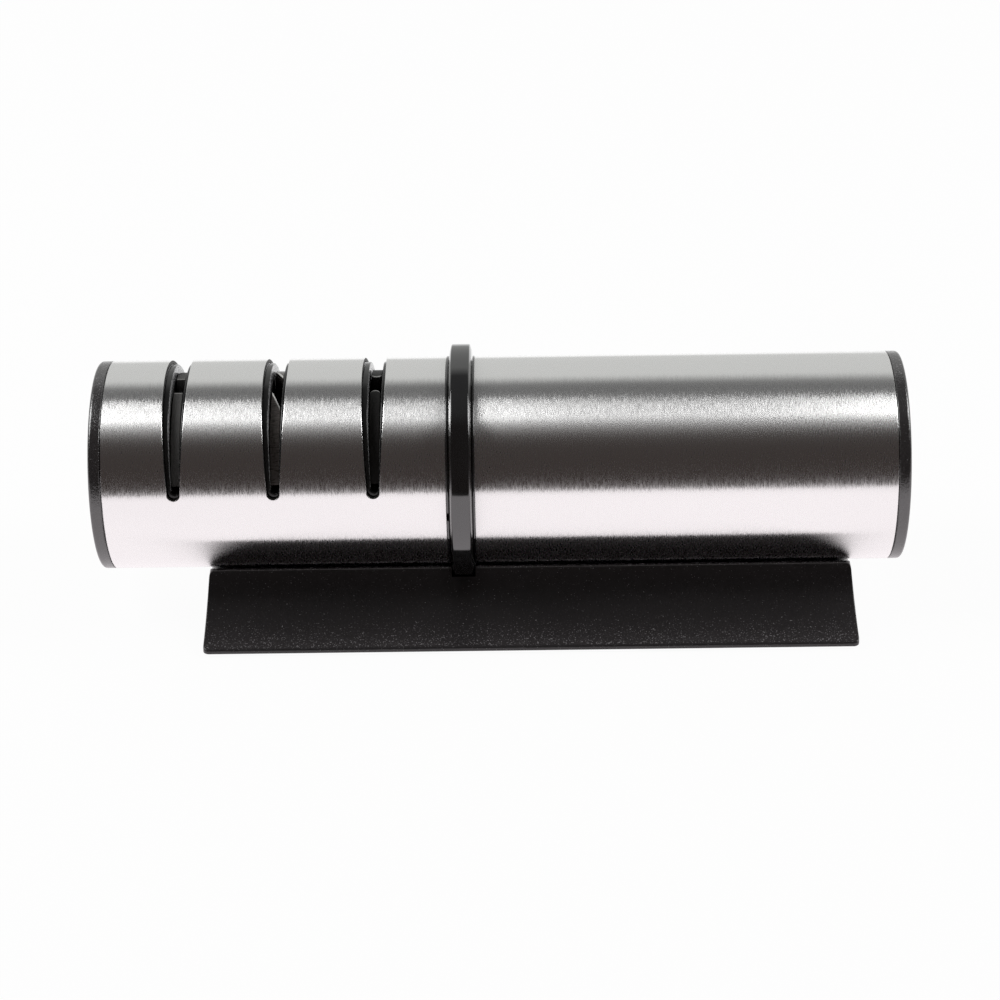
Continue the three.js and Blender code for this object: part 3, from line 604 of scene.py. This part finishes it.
def base_section(distance):
    """The saddle's outline (y, z) at a distance from its end, with soft corners."""
    toe_side = HALF_DEPTH - arc_drop(distance, CORNER_R)
    rim_z = RIM_Z - arc_drop(distance, RIM_END_R)
    rim_side = flank_side(rim_z)
    cradle_side = math.sqrt(CRADLE_R ** 2 - (AXIS_Z - rim_z) ** 2)
    toe_z = flank_z(toe_side)
    reach = math.asin(cradle_side / CRADLE_R)
    flank = [(side, flank_z(side)) for side in np.linspace(toe_side, rim_side, SECTION_STEPS)]
    cradle = [(CRADLE_R * math.sin(turn), AXIS_Z - CRADLE_R * math.cos(turn))
              for turn in np.linspace(reach, 0, SECTION_STEPS)]
    lines = [
        ([(0, base_low.z), (toe_side, base_low.z)], 6),
        ([(toe_side, base_low.z), (toe_side, toe_z)], 2),
        (flank, SECTION_STEPS),
        ([(rim_side, rim_z), (cradle_side, rim_z)], 3),
        (cradle, SECTION_STEPS),
    ]
    softness = [0, 0.35 * MM, 0.5 * MM, 0.28 * MM, 0.28 * MM, 0]
    half = []
    for index, (line, count) in enumerate(lines):
        part = resample(line, count, softness[index], softness[index + 1])
        if half:
            corner = np.array(line[0])
            first = half[-1]
            for share in np.linspace(0, 1, EDGE_STEPS + 2)[1:-1]:
                half.append(first * (1 - share) ** 2 + corner * 2 * share * (1 - share)
                            + part[0] * share ** 2)
        half += list(part)
    half = np.array(half)
    mirrored = half[-2:0:-1] * (-1, 1)
    return np.concatenate([half, mirrored])


def hollow():
    """The room under the flanks and the cradle, a wall inside them, with bosses left standing."""
    start, end = base_low.x + SHELL_WALL, base_high.x - SHELL_WALL
    radius = FLANK_R + SHELL_WALL
    rim_turn = math.atan2(RIM_Z - FLANK[1], RIM_OUTER - FLANK[0])
    sides = np.linspace(plate_high.y + FIT, FLANK[0] + radius * math.cos(rim_turn), SECTION_STEPS)
    flank = [(side, FLANK[1] - math.sqrt(radius ** 2 - (side - FLANK[0]) ** 2)) for side in sides]
    right = [(sides[0], base_low.z - MM)] + flank
    outline = right + [(-side, height) for side, height in reversed(right)]
    loops = [[(x, side, height) for side, height in outline] for x in (start, end)]
    room = piece_from("hollow", [(np.array(loops), False, True)], loops)
    tools = [bar("cradle", start - MM, end + MM, (0, AXIS_Z), CRADLE_R + SHELL_WALL, 160)]
    for node in PLATE_SCREWS:
        place = centre_of(node)
        tools.append(post("boss", (place.x, place.y), BOSS_R, plate_high.z, RIM_Z))
    return carve(room, tools)


def saddle():
    distances = CORNER_R * (1 - np.cos(np.linspace(0, math.pi / 2, 13)))
    rows = []
    for distance in distances:
        flat = inset(base_section(distance), arc_drop(distance, END_EDGE))
        rows.append((base_low.x + distance, flat))
    rows += [(base_high.x + base_low.x - x, flat) for x, flat in reversed(rows)]
    points = np.array([np.column_stack([np.full(len(flat), x), flat]) for x, flat in rows])
    rise = (points[..., 2] - base_low.z) / (RIM_Z - RIM_END_R - base_low.z)
    draft = END_DRAFT * np.clip(rise, 0, 1)
    ends = len(distances)
    points[:ends, :, 0] += draft[:ends]
    points[ends:, :, 0] -= draft[ends:]
    body = piece_from("saddle", [(points, False, True)], [points[0], points[-1]])
    start, end = ring_low.x - RUNNING_FIT, ring_high.x + RUNNING_FIT
    tools = [bar("ring_slot", start, end, (0, AXIS_Z), RING_R + RUNNING_FIT, 160)]
    tools.append(box_piece("rebate", (plate_low.x - FIT, plate_low.y - FIT, base_low.z - MM),
                           (plate_high.x + FIT, plate_high.y + FIT, plate_high.z)))
    tools.append(hollow())
    for node in PLATE_SCREWS:
        place = centre_of(node)
        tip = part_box(node)[1].z
        tools.append(post("screw_hole", (place.x, place.y), BOSS_HOLE_R, base_low.z, tip + FIT))
    return carve(body, tools)


# Underside: plate, screws and grip strips
SCREW_HEAD_R = 2.1 * MM
SCREW_R = 1.1 * MM
SCREW_HEAD_RIM = 0.3 * MM
SCREW_HEAD_HEIGHT = 1.2 * MM


def screw(name, node):
    low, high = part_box(node)
    place = ((low.x + high.x) / 2, (low.y + high.y) / 2)
    dome = [(SCREW_HEAD_R * share, low.z + 0.12 * MM * share ** 2) for share in (0, 0.4, 0.7, 0.9, 1)]
    profile = dome + [(SCREW_HEAD_R, low.z + SCREW_HEAD_RIM), (SCREW_R, low.z + SCREW_HEAD_HEIGHT),
                      (SCREW_R, high.z - 0.5 * MM), (SCREW_R * 0.5, high.z), (0, high.z)]
    body = piece_from(name, [upright(profile, place)])
    arm, half, depth = 1.25 * MM, 0.26 * MM, 0.7 * MM
    recess = []
    for along, across in ((arm, half), (half, arm)):
        recess.append(box_piece("recess", (place[0] - along, place[1] - across, low.z - MM),
                                (place[0] + along, place[1] + across, low.z + depth)))
    return carve(body, recess)


def slab(name, low, high, corner, edge_low, edge_high=0.0):
    """A flat piece with rounded corners in plan and soft edges below and above."""
    def outline(shrink):
        corners = [(x, y, max(corner - shrink, 0.05 * MM)) for x, y in (
            (low.x + shrink, low.y + shrink), (high.x - shrink, low.y + shrink),
            (high.x - shrink, high.y - shrink), (low.x + shrink, high.y - shrink))]
        return np.array(rounded(corners, 8))

    turns = np.linspace(0, math.pi / 2, EDGE_STEPS + 1)
    levels = [(edge_low * (1 - math.sin(turn)), low.z + edge_low * (1 - math.cos(turn))) for turn in turns]
    levels += [(edge_high * (1 - math.cos(turn)), high.z - edge_high * (1 - math.sin(turn)))
               for turn in turns] if edge_high else [(0, high.z)]
    rows = []
    for shrink, height in levels:
        flat = outline(shrink)
        rows.append(np.column_stack([flat, np.full(len(flat), height)]))
    return piece_from(name, [(np.array(rows), False, True)], [rows[0], rows[-1]])


def cover_plate():
    plate = slab("cover_plate", plate_low, plate_high, 0.6 * MM, 0.2 * MM)
    tools = []
    fit = 0.2 * MM
    for node in BASE_SCREWS:
        low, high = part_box(node)
        place = ((low.x + high.x) / 2, (low.y + high.y) / 2)
        profile = [(0, low.z - MM), (SCREW_HEAD_R + fit, low.z - MM),
                   (SCREW_HEAD_R + fit, low.z + SCREW_HEAD_RIM),
                   (SCREW_R + fit, low.z + SCREW_HEAD_HEIGHT), (SCREW_R + fit, high.z), (0, high.z)]
        tools.append(piece_from("countersink", [upright(profile, place)]))
    return carve(plate, tools)


# Materials

class Shader:
    """A principled material and a short way to add nodes to it."""

    def __init__(self, name):
        self.material = bpy.data.materials.new(name)
        self.material.use_nodes = True
        self.tree = self.material.node_tree
        self.shader = self.tree.nodes["Principled BSDF"]
        self.place = self.add("ShaderNodeTexCoord").outputs["Object"]

    def add(self, kind, inputs=(), **settings):
        made = self.tree.nodes.new(kind)
        for key, value in settings.items():
            setattr(made, key, value)
        for key, value in dict(inputs).items():
            if isinstance(value, bpy.types.NodeSocket):
                self.tree.links.new(value, made.inputs[key])
            else:
                made.inputs[key].default_value = value
        return made

    def set(self, **values):
        for key, value in values.items():
            target = self.shader.inputs[key.replace("_", " ")]
            if isinstance(value, bpy.types.NodeSocket):
                self.tree.links.new(value, target)
            else:
                target.default_value = value

    def noise(self, stretch, detail=2.0, roughness=0.5):
        """Noise whose grain per metre along each axis is the stretch."""
        mapped = self.add("ShaderNodeMapping", {"Vector": self.place, "Scale": stretch})
        return self.add("ShaderNodeTexNoise", {"Vector": mapped.outputs["Vector"], "Scale": 1.0,
                                               "Detail": detail, "Roughness": roughness}).outputs["Fac"]

    def cells(self, density):
        return self.add("ShaderNodeTexVoronoi", {"Vector": self.place, "Scale": density}).outputs["Distance"]

    def spread(self, value, low, high, from_low=0.3, from_high=0.7):
        return self.add("ShaderNodeMapRange", {"Value": value, "From Min": from_low, "From Max": from_high,
                                               "To Min": low, "To Max": high}).outputs["Result"]

    def tint(self, value, dark, light, from_low=0.3, from_high=0.7):
        ramp = self.add("ShaderNodeValToRGB", {"Fac": value})
        for element, at, colour in zip(ramp.color_ramp.elements, (from_low, from_high), (dark, light)):
            element.position = at
            element.color = (*colour, 1)
        return ramp.outputs["Color"]

    def sum(self, first, second, weight):
        return self.add("ShaderNodeMath", {0: second, 1: weight, 2: first},
                        operation="MULTIPLY_ADD").outputs["Value"]

    def bump(self, height, distance, strength=1.0):
        return self.add("ShaderNodeBump", {"Height": height, "Distance": distance,
                                           "Strength": strength}).outputs["Normal"]


def brushed_steel():
    """Steel brushed round the tube: short fine lines across X, each tipped a little its own way."""
    made = Shader("brushed_steel")
    fine = made.noise((5200, 700, 700), 3.0, 0.6)
    broad = made.noise((1800, 240, 240), 2.0)
    lines = made.sum(fine, broad, 0.2)
    round_axis = made.add("ShaderNodeTangent", direction_type="RADIAL", axis="X").outputs["Tangent"]
    normal = made.add("ShaderNodeNewGeometry").outputs["Normal"]
    tip = made.spread(lines, -0.024, 0.024, 0.3, 0.9)
    tipped = made.add("ShaderNodeVectorMath", {0: round_axis, "Scale": tip}, operation="SCALE")
    added = made.add("ShaderNodeVectorMath", {0: normal, 1: tipped.outputs["Vector"]}, operation="ADD")
    unit = made.add("ShaderNodeVectorMath", {0: added.outputs["Vector"]}, operation="NORMALIZE")
    made.set(Base_Color=made.tint(fine, (0.93, 0.925, 0.92), (1.0, 0.995, 0.99), 0.25, 0.75),
             Metallic=1.0,
             Roughness=made.spread(lines, 0.23, 0.33, 0.35, 0.95),
             Anisotropic=0.95,
             Anisotropic_Rotation=0.25,
             Tangent=round_axis,
             Normal=unit.outputs["Vector"])
    return made.material


def slot_edge_shade():
    """The walls of the steel's laser-cut slots, painted dark: painted shade along the slot edges."""
    made = Shader("slot_edge_shade")
    # Near-black colour here is painted shade, not a colour the steel has
    shade_tone = made.noise((1600, 1600, 1600), 2.0)
    made.set(Base_Color=made.tint(shade_tone, (0.020, 0.019, 0.018), (0.06, 0.058, 0.055)),
             Metallic=0.4,
             Roughness=made.spread(shade_tone, 0.42, 0.6))
    return made.material


def grained_plastic(name, ior, specular):
    """Black moulding with a fine grain. Its pale flecks are painted glints, painted denser where the surface
    faces up towards the light.
    """
    made = Shader(name)
    grain = made.noise((3000, 3000, 3000), 2.0, 0.6)
    flecks = made.noise((2900, 2900, 2900), 1.0)
    broad = made.noise((60, 60, 60), 2.0)
    # Painted glints: pale flecks in the colour, more of them on faces turned upwards towards the light
    facing = made.add("ShaderNodeSeparateXYZ", {0: made.add("ShaderNodeNewGeometry").outputs["Normal"]})
    upward_glint_share = made.spread(facing.outputs["Z"], 0, 1, 0.905, 0.985)
    painted_glint_flecks = made.sum(flecks, upward_glint_share, 0.11)
    made.set(Base_Color=made.tint(painted_glint_flecks, (0.031, 0.0283, 0.0292), (0.30, 0.29, 0.30), 0.68, 0.86),
             Roughness=made.spread(broad, 0.12, 0.17),
             IOR=ior,
             Specular_IOR_Level=specular,
             Normal=made.bump(grain, 0.06 * MM, 1.0))
    return made.material


def gloss_plastic():
    """Polished black with a faint moulding haze."""
    made = Shader("gloss_plastic")
    haze = made.noise((140, 140, 140), 3.0)
    made.set(Base_Color=made.tint(haze, (0.006, 0.006, 0.0065), (0.010, 0.010, 0.0105)),
             Roughness=made.spread(haze, 0.05, 0.09),
             IOR=1.7,
             Specular_IOR_Level=0.95,
             Normal=made.bump(haze, 0.02 * MM, 0.2))
    return made.material


def inner_plastic(name, lamp_glints=False):
    """Smooth black of the inner mouldings. With the flag set, pale specks are painted on the upper channel
    walls: painted glints of the lamp light that reaches down them.
    """
    made = Shader(name)
    grain = made.noise((1800, 1800, 1800), 3.0, 0.6)
    rubbed = made.noise((90, 400, 90), 3.0)
    colour = made.tint(rubbed, (0.010, 0.010, 0.010), (0.018, 0.018, 0.018))
    if lamp_glints:
        # Painted glints: pale specks painted on the side walls near the channel mouth, where lamp light
        # falls down the walls
        centred = made.add("ShaderNodeVectorMath", {0: made.place, 1: (0, 0, AXIS_Z)}, operation="SUBTRACT")
        across = made.add("ShaderNodeVectorMath", {0: centred.outputs["Vector"], 1: (0, 1, 1)},
                          operation="MULTIPLY")
        radius = made.add("ShaderNodeVectorMath", {0: across.outputs["Vector"]}, operation="LENGTH")
        mouth = made.spread(radius.outputs["Value"], 0, 1, INNER_R - 4.2 * MM, INNER_R - 0.4 * MM)
        facing = made.add("ShaderNodeSeparateXYZ", {0: made.add("ShaderNodeNewGeometry").outputs["Normal"]})
        turned = made.add("ShaderNodeMath", {0: facing.outputs["X"]}, operation="ABSOLUTE")
        wall = made.spread(turned.outputs["Value"], 0, 1, 0.9, 0.98)
        specks = made.spread(made.noise((2600, 2600, 2600), 2.0, 0.7), 0, 1, 0.40, 0.56)
        glint_area = made.add("ShaderNodeMath", {0: mouth, 1: wall}, operation="MULTIPLY")
        share = made.add("ShaderNodeMath", {0: glint_area.outputs["Value"], 1: specks}, operation="MULTIPLY")
        # The pale colour is a painted highlight, not a mark the plastic has
        pale = made.add("ShaderNodeMix", {"Factor": share.outputs["Value"], "A": colour,
                                          "B": (0.85, 0.85, 0.86, 1)}, data_type="RGBA")
        colour = pale.outputs["Result"]
    made.set(Base_Color=colour,
             Roughness=made.spread(grain, 0.11, 0.2),
             Specular_IOR_Level=0.5,
             Normal=made.bump(grain, 0.012 * MM, 0.3))
    return made.material


def pale_nylon():
    made = Shader("holder_nylon")
    flow = made.noise((220, 220, 90), 4.0)
    made.set(Base_Color=made.tint(flow, (0.10, 0.10, 0.096), (0.16, 0.16, 0.15)),
             Roughness=made.spread(flow, 0.42, 0.55),
             Normal=made.bump(flow, 0.03 * MM, 0.3))
    return made.material


def diamond_coat():
    """Dark grit bonded to steel: small facets that glint."""
    made = Shader("diamond_coat")
    grit = made.cells(4200)
    wear = made.noise((300, 300, 120), 3.0)
    made.set(Base_Color=made.tint(made.sum(grit, wear, 0.6), (0.055, 0.054, 0.052), (0.13, 0.128, 0.124)),
             Metallic=0.1,
             Roughness=made.spread(grit, 0.5, 0.7, 0.1, 0.6),
             Specular_IOR_Level=0.25,
             Normal=made.bump(grit, 0.06 * MM, 0.6))
    return made.material


def carbide():
    """Ground hard metal, dark and a little brown, with lines along the grind."""
    made = Shader("carbide")
    lines = made.noise((900, 6000, 500), 3.0)
    made.set(Base_Color=made.tint(lines, (0.085, 0.075, 0.068), (0.17, 0.155, 0.145)),
             Metallic=0.5,
             Roughness=made.spread(lines, 0.24, 0.38),
             Normal=made.bump(lines, 0.02 * MM, 0.4))
    return made.material


def fine_ceramic():
    made = Shader("fine_ceramic")
    grain = made.noise((3800, 3800, 3800), 2.0)
    made.set(Base_Color=made.tint(grain, (0.012, 0.0115, 0.011), (0.028, 0.027, 0.026)),
             Roughness=made.spread(grain, 0.4, 0.55),
             Specular_IOR_Level=0.2,
             Normal=made.bump(grain, 0.02 * MM, 0.3))
    return made.material


def ground_land(name, dark, light):
    """The freshly ground land at the upper end of a bar, with lines across it."""
    made = Shader(name)
    lines = made.noise((5200, 900, 900), 2.0)
    made.set(Base_Color=made.tint(lines, dark, light),
             Metallic=0.9,
             Roughness=made.spread(lines, 0.22, 0.34),
             Normal=made.bump(lines, 0.01 * MM, 0.4))
    return made.material


def rubber():
    made = Shader("rubber")
    grain = made.noise((1800, 1800, 1800), 3.0)
    made.set(Base_Color=made.tint(grain, (0.010, 0.010, 0.010), (0.020, 0.020, 0.020)),
             Roughness=made.spread(grain, 0.72, 0.88),
             Specular_IOR_Level=0.3,
             Normal=made.bump(grain, 0.05 * MM, 0.5))
    return made.material


def zinc_steel():
    made = Shader("zinc_steel")
    spangle = made.noise((700, 700, 700), 3.0)
    made.set(Base_Color=made.tint(spangle, (0.48, 0.49, 0.50), (0.66, 0.67, 0.68)),
             Metallic=1.0,
             Roughness=made.spread(spangle, 0.26, 0.4),
             Normal=made.bump(spangle, 0.02 * MM, 0.3))
    return made.material


LOOKS = {
    "brushed_steel": brushed_steel(),
    "grained_plastic": grained_plastic("grained_plastic", 1.5, 0.55),
    "gloss_plastic": gloss_plastic(),
    "inner_plastic": inner_plastic("inner_plastic"),
    "holder_nylon": pale_nylon(),
    "diamond_coat": diamond_coat(),
    "carbide": carbide(),
    "fine_ceramic": fine_ceramic(),
    "rubber": rubber(),
    "zinc_steel": zinc_steel(),
}
GROUND_LOOKS = {
    1: ground_land("coarse_land", (0.26, 0.255, 0.25), (0.44, 0.43, 0.42)),
    2: ground_land("blade_land", (0.78, 0.77, 0.75), (0.95, 0.94, 0.92)),
    3: ground_land("fine_land", (0.34, 0.335, 0.33), (0.55, 0.545, 0.54)),
}


# Assembly: each piece stands for its CAD node and rides on that node's body

def dress(obj, node, slot, body):
    obj.data.materials.clear()
    obj.data.materials.append(LOOKS[slot])
    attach(obj, body)
    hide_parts(node)


steel_head = slotted_sleeve("steel_head", head_low.x, head_high.x)
dress(steel_head, "head_sleeve", "brushed_steel", "body")
# The slot walls get a dark second material: painted shade along the slot edges
steel_head.data.materials.append(slot_edge_shade())
darken_cuts(steel_head)
dress(plain_ring("steel_handle", handle_low.x, handle_high.x, BORE_R, TUBE_R, JOINT_EDGE),
      "handle_sleeve", "brushed_steel", "body")
cap_look = grained_plastic("cap_plastic", 1.7, 0.95)
for cap, node in ((head_end_cap("cap_head"), "head_cap"), (handle_end_cap("cap_handle"), "handle_cap")):
    dress(cap, node, "grained_plastic", "body")
    cap.data.materials[0] = cap_look
# The channel blocks carry pale specks on their walls: painted glints of the lamp light
channel_look = inner_plastic("channel_plastic", lamp_glints=True)
for number, station in enumerate(CHANNEL_STATIONS, 1):
    block = stage_block(f"stage_block_{number}", number, station)
    dress(block, f"stage_{number}_body", "inner_plastic", "body")
    block.data.materials[0] = channel_look
BARS = {
    1: ("coarse_rod", "diamond_rod", "diamond_coat"),
    2: ("middle_blade", "carbide_blade", "carbide"),
    3: ("fine_rod", "ceramic_rod", "fine_ceramic"),
}
for number, (piece, node, slot) in BARS.items():
    for side, direction in SIDES:
        obj = arch_bar(f"{piece}_{side}", number, direction)
        dress(obj, f"{node}_{side}", slot, "body")
        obj.data.materials.append(GROUND_LOOKS[number])
        grind_land(obj, number)
dress(split_ring("flange_split"), "collar_snap_ring", "gloss_plastic", "body")
dress(plain_ring("flange_plain", washer_low.x, washer_high.x, INNER_R + 0.2 * MM, FLANGE_R, 0.1 * MM),
      "collar_washer", "gloss_plastic", "body")
dress(collar(), "collar_ring", "gloss_plastic", "base")
dress(saddle(), "base_shell", "grained_plastic", "base")
dress(cover_plate(), "base_plate", "inner_plastic", "base")
for node in BASE_SCREWS:
    dress(screw(f"{node}_head", node), node, "zinc_steel", "base")
for side in ("front", "rear"):
    low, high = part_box(f"grip_strip_{side}")
    dress(slab(f"grip_{side}", low, high, 2.0 * MM, 0.3 * MM, 0.05 * MM),
          f"grip_strip_{side}", "rubber", "base")

HIDDEN_LOOKS = {
    "hub": "inner_plastic",
    "handle_core": "inner_plastic",
    "friction_ring": "rubber",
    "handle_stud": "zinc_steel",
    "head_tie_rod_front": "zinc_steel",
    "head_tie_rod_rear": "zinc_steel",
}
for number in (1, 2, 3):
    HIDDEN_LOOKS[f"stage_{number}_holder"] = "holder_nylon"
    for side in ("front", "rear"):
        HIDDEN_LOOKS[f"holder_screw_{number}_{side}"] = "zinc_steel"
for node, slot in HIDDEN_LOOKS.items():
    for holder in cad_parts[node].material_slots:
        holder.material = LOOKS[slot]


# Studio: pale floor, a light room behind, a dark room in front and two soft lamps above

FLOOR_RAMP = [
    (-0.80, (0.05, 0.045, 0.043)),
    (-0.55, (1.0, 0.945, 0.97)),
    (0.0, (1.0, 0.945, 0.97)),
    (0.04, (1.0, 1.0, 1.0)),
    (0.20, (1.0, 1.0, 1.0)),
    (0.45, (0.57, 0.575, 0.565)),
]


def fill_ramp(ramp, stops):
    """Sets a colour ramp to (place, colour) stops."""
    while len(ramp.elements) < len(stops):
        ramp.elements.new(0.5)
    for element, (at, colour) in zip(ramp.elements, stops):
        element.position = at
        element.color = (*colour, 1)


def studio_floor():
    size = 6.0
    mesh = bpy.data.meshes.new("floor")
    corners = [(-size, -size, 0), (size, -size, 0), (size, size, 0), (-size, size, 0)]
    mesh.from_pydata(corners, [], [(0, 1, 2, 3)])
    floor = link(bpy.data.objects.new("floor", mesh))
    material = bpy.data.materials.new("floor")
    material.use_nodes = True
    tree = material.node_tree
    tree.nodes.clear()

    def add(kind, **settings):
        made = tree.nodes.new(kind)
        for key, value in settings.items():
            setattr(made, key, value)
        return made

    path = add("ShaderNodeLightPath")
    place = add("ShaderNodeSeparateXYZ")
    tree.links.new(add("ShaderNodeNewGeometry").outputs["Position"], place.inputs[0])
    reach = add("ShaderNodeMapRange")
    reach.inputs["From Min"].default_value = FLOOR_RAMP[0][0]
    reach.inputs["From Max"].default_value = FLOOR_RAMP[-1][0]
    tree.links.new(place.outputs["Y"], reach.inputs["Value"])
    depth = add("ShaderNodeValToRGB")
    tree.links.new(reach.outputs["Result"], depth.inputs["Fac"])
    span = FLOOR_RAMP[-1][0] - FLOOR_RAMP[0][0]
    fill_ramp(depth.color_ramp, [((at - FLOOR_RAMP[0][0]) / span, colour) for at, colour in FLOOR_RAMP])
    seen = add("ShaderNodeMix", data_type="RGBA")
    tree.links.new(path.outputs["Is Camera Ray"], seen.inputs["Factor"])
    tree.links.new(depth.outputs["Color"], seen.inputs["A"])
    seen.inputs["B"].default_value = (1, 1, 1, 1)
    glow = add("ShaderNodeEmission")
    tree.links.new(seen.outputs["Result"], glow.inputs["Color"])
    matte = add("ShaderNodeBsdfDiffuse")
    matte.inputs["Color"].default_value = (0.9, 0.9, 0.9, 1)
    direct = add("ShaderNodeMath", operation="MAXIMUM")
    tree.links.new(path.outputs["Is Camera Ray"], direct.inputs[0])
    tree.links.new(path.outputs["Is Glossy Ray"], direct.inputs[1])
    both = add("ShaderNodeMath", operation="MAXIMUM")
    tree.links.new(direct.outputs[0], both.inputs[0])
    tree.links.new(path.outputs["Is Transmission Ray"], both.inputs[1])
    share = add("ShaderNodeMath", operation="MULTIPLY")
    share.inputs[1].default_value = 0.96
    tree.links.new(both.outputs[0], share.inputs[0])
    mix = add("ShaderNodeMixShader")
    tree.links.new(share.outputs[0], mix.inputs["Fac"])
    tree.links.new(matte.outputs[0], mix.inputs[1])
    tree.links.new(glow.outputs[0], mix.inputs[2])
    tree.links.new(mix.outputs[0], add("ShaderNodeOutputMaterial").inputs["Surface"])
    mesh.materials.append(material)


def studio_world():
    """White to the camera. To the rest: light behind up to 45 degrees, dark in front."""
    world = bpy.data.worlds.new("studio")
    bpy.context.scene.world = world
    world.use_nodes = True
    tree = world.node_tree
    tree.nodes.clear()

    def add(kind, **settings):
        made = tree.nodes.new(kind)
        for key, value in settings.items():
            setattr(made, key, value)
        return made

    toward = add("ShaderNodeSeparateXYZ")
    tree.links.new(add("ShaderNodeTexCoord").outputs["Generated"], toward.inputs[0])
    lean = add("ShaderNodeMath", operation="ARCTAN2")
    tree.links.new(toward.outputs["Y"], lean.inputs[0])
    tree.links.new(toward.outputs["Z"], lean.inputs[1])
    share = add("ShaderNodeMapRange")
    share.inputs["From Min"].default_value = -math.pi
    share.inputs["From Max"].default_value = math.pi
    tree.links.new(lean.outputs[0], share.inputs["Value"])
    ramp = add("ShaderNodeValToRGB")
    tree.links.new(share.outputs["Result"], ramp.inputs["Fac"])
    stops = [
        (-180, (0.60, 0.58, 0.58)),
        (-110, (0.60, 0.58, 0.58)),
        (-95, (0.044, 0.036, 0.034)),
        (-25, (0.040, 0.034, 0.032)),
        (-10, (0.10, 0.10, 0.10)),
        (34, (0.12, 0.12, 0.12)),
        (46, (0.57, 0.575, 0.565)),
        (180, (0.57, 0.575, 0.565)),
    ]
    fill_ramp(ramp.color_ramp, [((angle + 180) / 360, colour) for angle, colour in stops])
    room = add("ShaderNodeBackground")
    tree.links.new(ramp.outputs["Color"], room.inputs["Color"])
    white = add("ShaderNodeBackground")
    white.inputs["Color"].default_value = (1, 1, 1, 1)
    mix = add("ShaderNodeMixShader")
    tree.links.new(add("ShaderNodeLightPath").outputs["Is Camera Ray"], mix.inputs["Fac"])
    tree.links.new(room.outputs[0], mix.inputs[1])
    tree.links.new(white.outputs[0], mix.inputs[2])
    tree.links.new(mix.outputs[0], add("ShaderNodeOutputWorld").inputs["Surface"])


def soft_lamp(name, place, aim, width, depth, power):
    lamp = bpy.data.lights.new(name, "AREA")
    lamp.shape = "RECTANGLE"
    lamp.size = width
    lamp.size_y = depth
    lamp.energy = power
    obj = link(bpy.data.objects.new(name, lamp))
    obj.location = place
    obj.rotation_mode = "QUATERNION"
    obj.rotation_quaternion = (Vector(aim) - Vector(place)).to_track_quat("-Z", "Y")


def photo_camera():
    """Stands in front and above, as the photograph's camera did, with its slight roll."""
    camera = bpy.data.cameras.new("camera")
    camera.sensor_width = 36.0
    camera.lens = 95.11
    obj = link(bpy.data.objects.new("camera", camera))
    obj.matrix_world = (Matrix.Translation((0.00613, -0.54166, 0.36996))
                        @ Matrix.Rotation(math.radians(0.668), 4, "Z")
                        @ Matrix.Rotation(math.radians(57.163), 4, "X")
                        @ Matrix.Rotation(math.radians(-1.107), 4, "Z"))
    bpy.context.scene.camera = obj


studio_floor()
studio_world()
LAMP_HEIGHT = 0.75
LAMP_BACK = 0.075
for name, side in (("lamp_left", -0.72), ("lamp_right", 0.86)):
    soft_lamp(name, (side, LAMP_BACK, LAMP_HEIGHT), (0, LAMP_BACK, 0.0), 0.46, 0.6, 5.4)
photo_camera()
bpy.context.scene.view_settings.view_transform = "Standard"
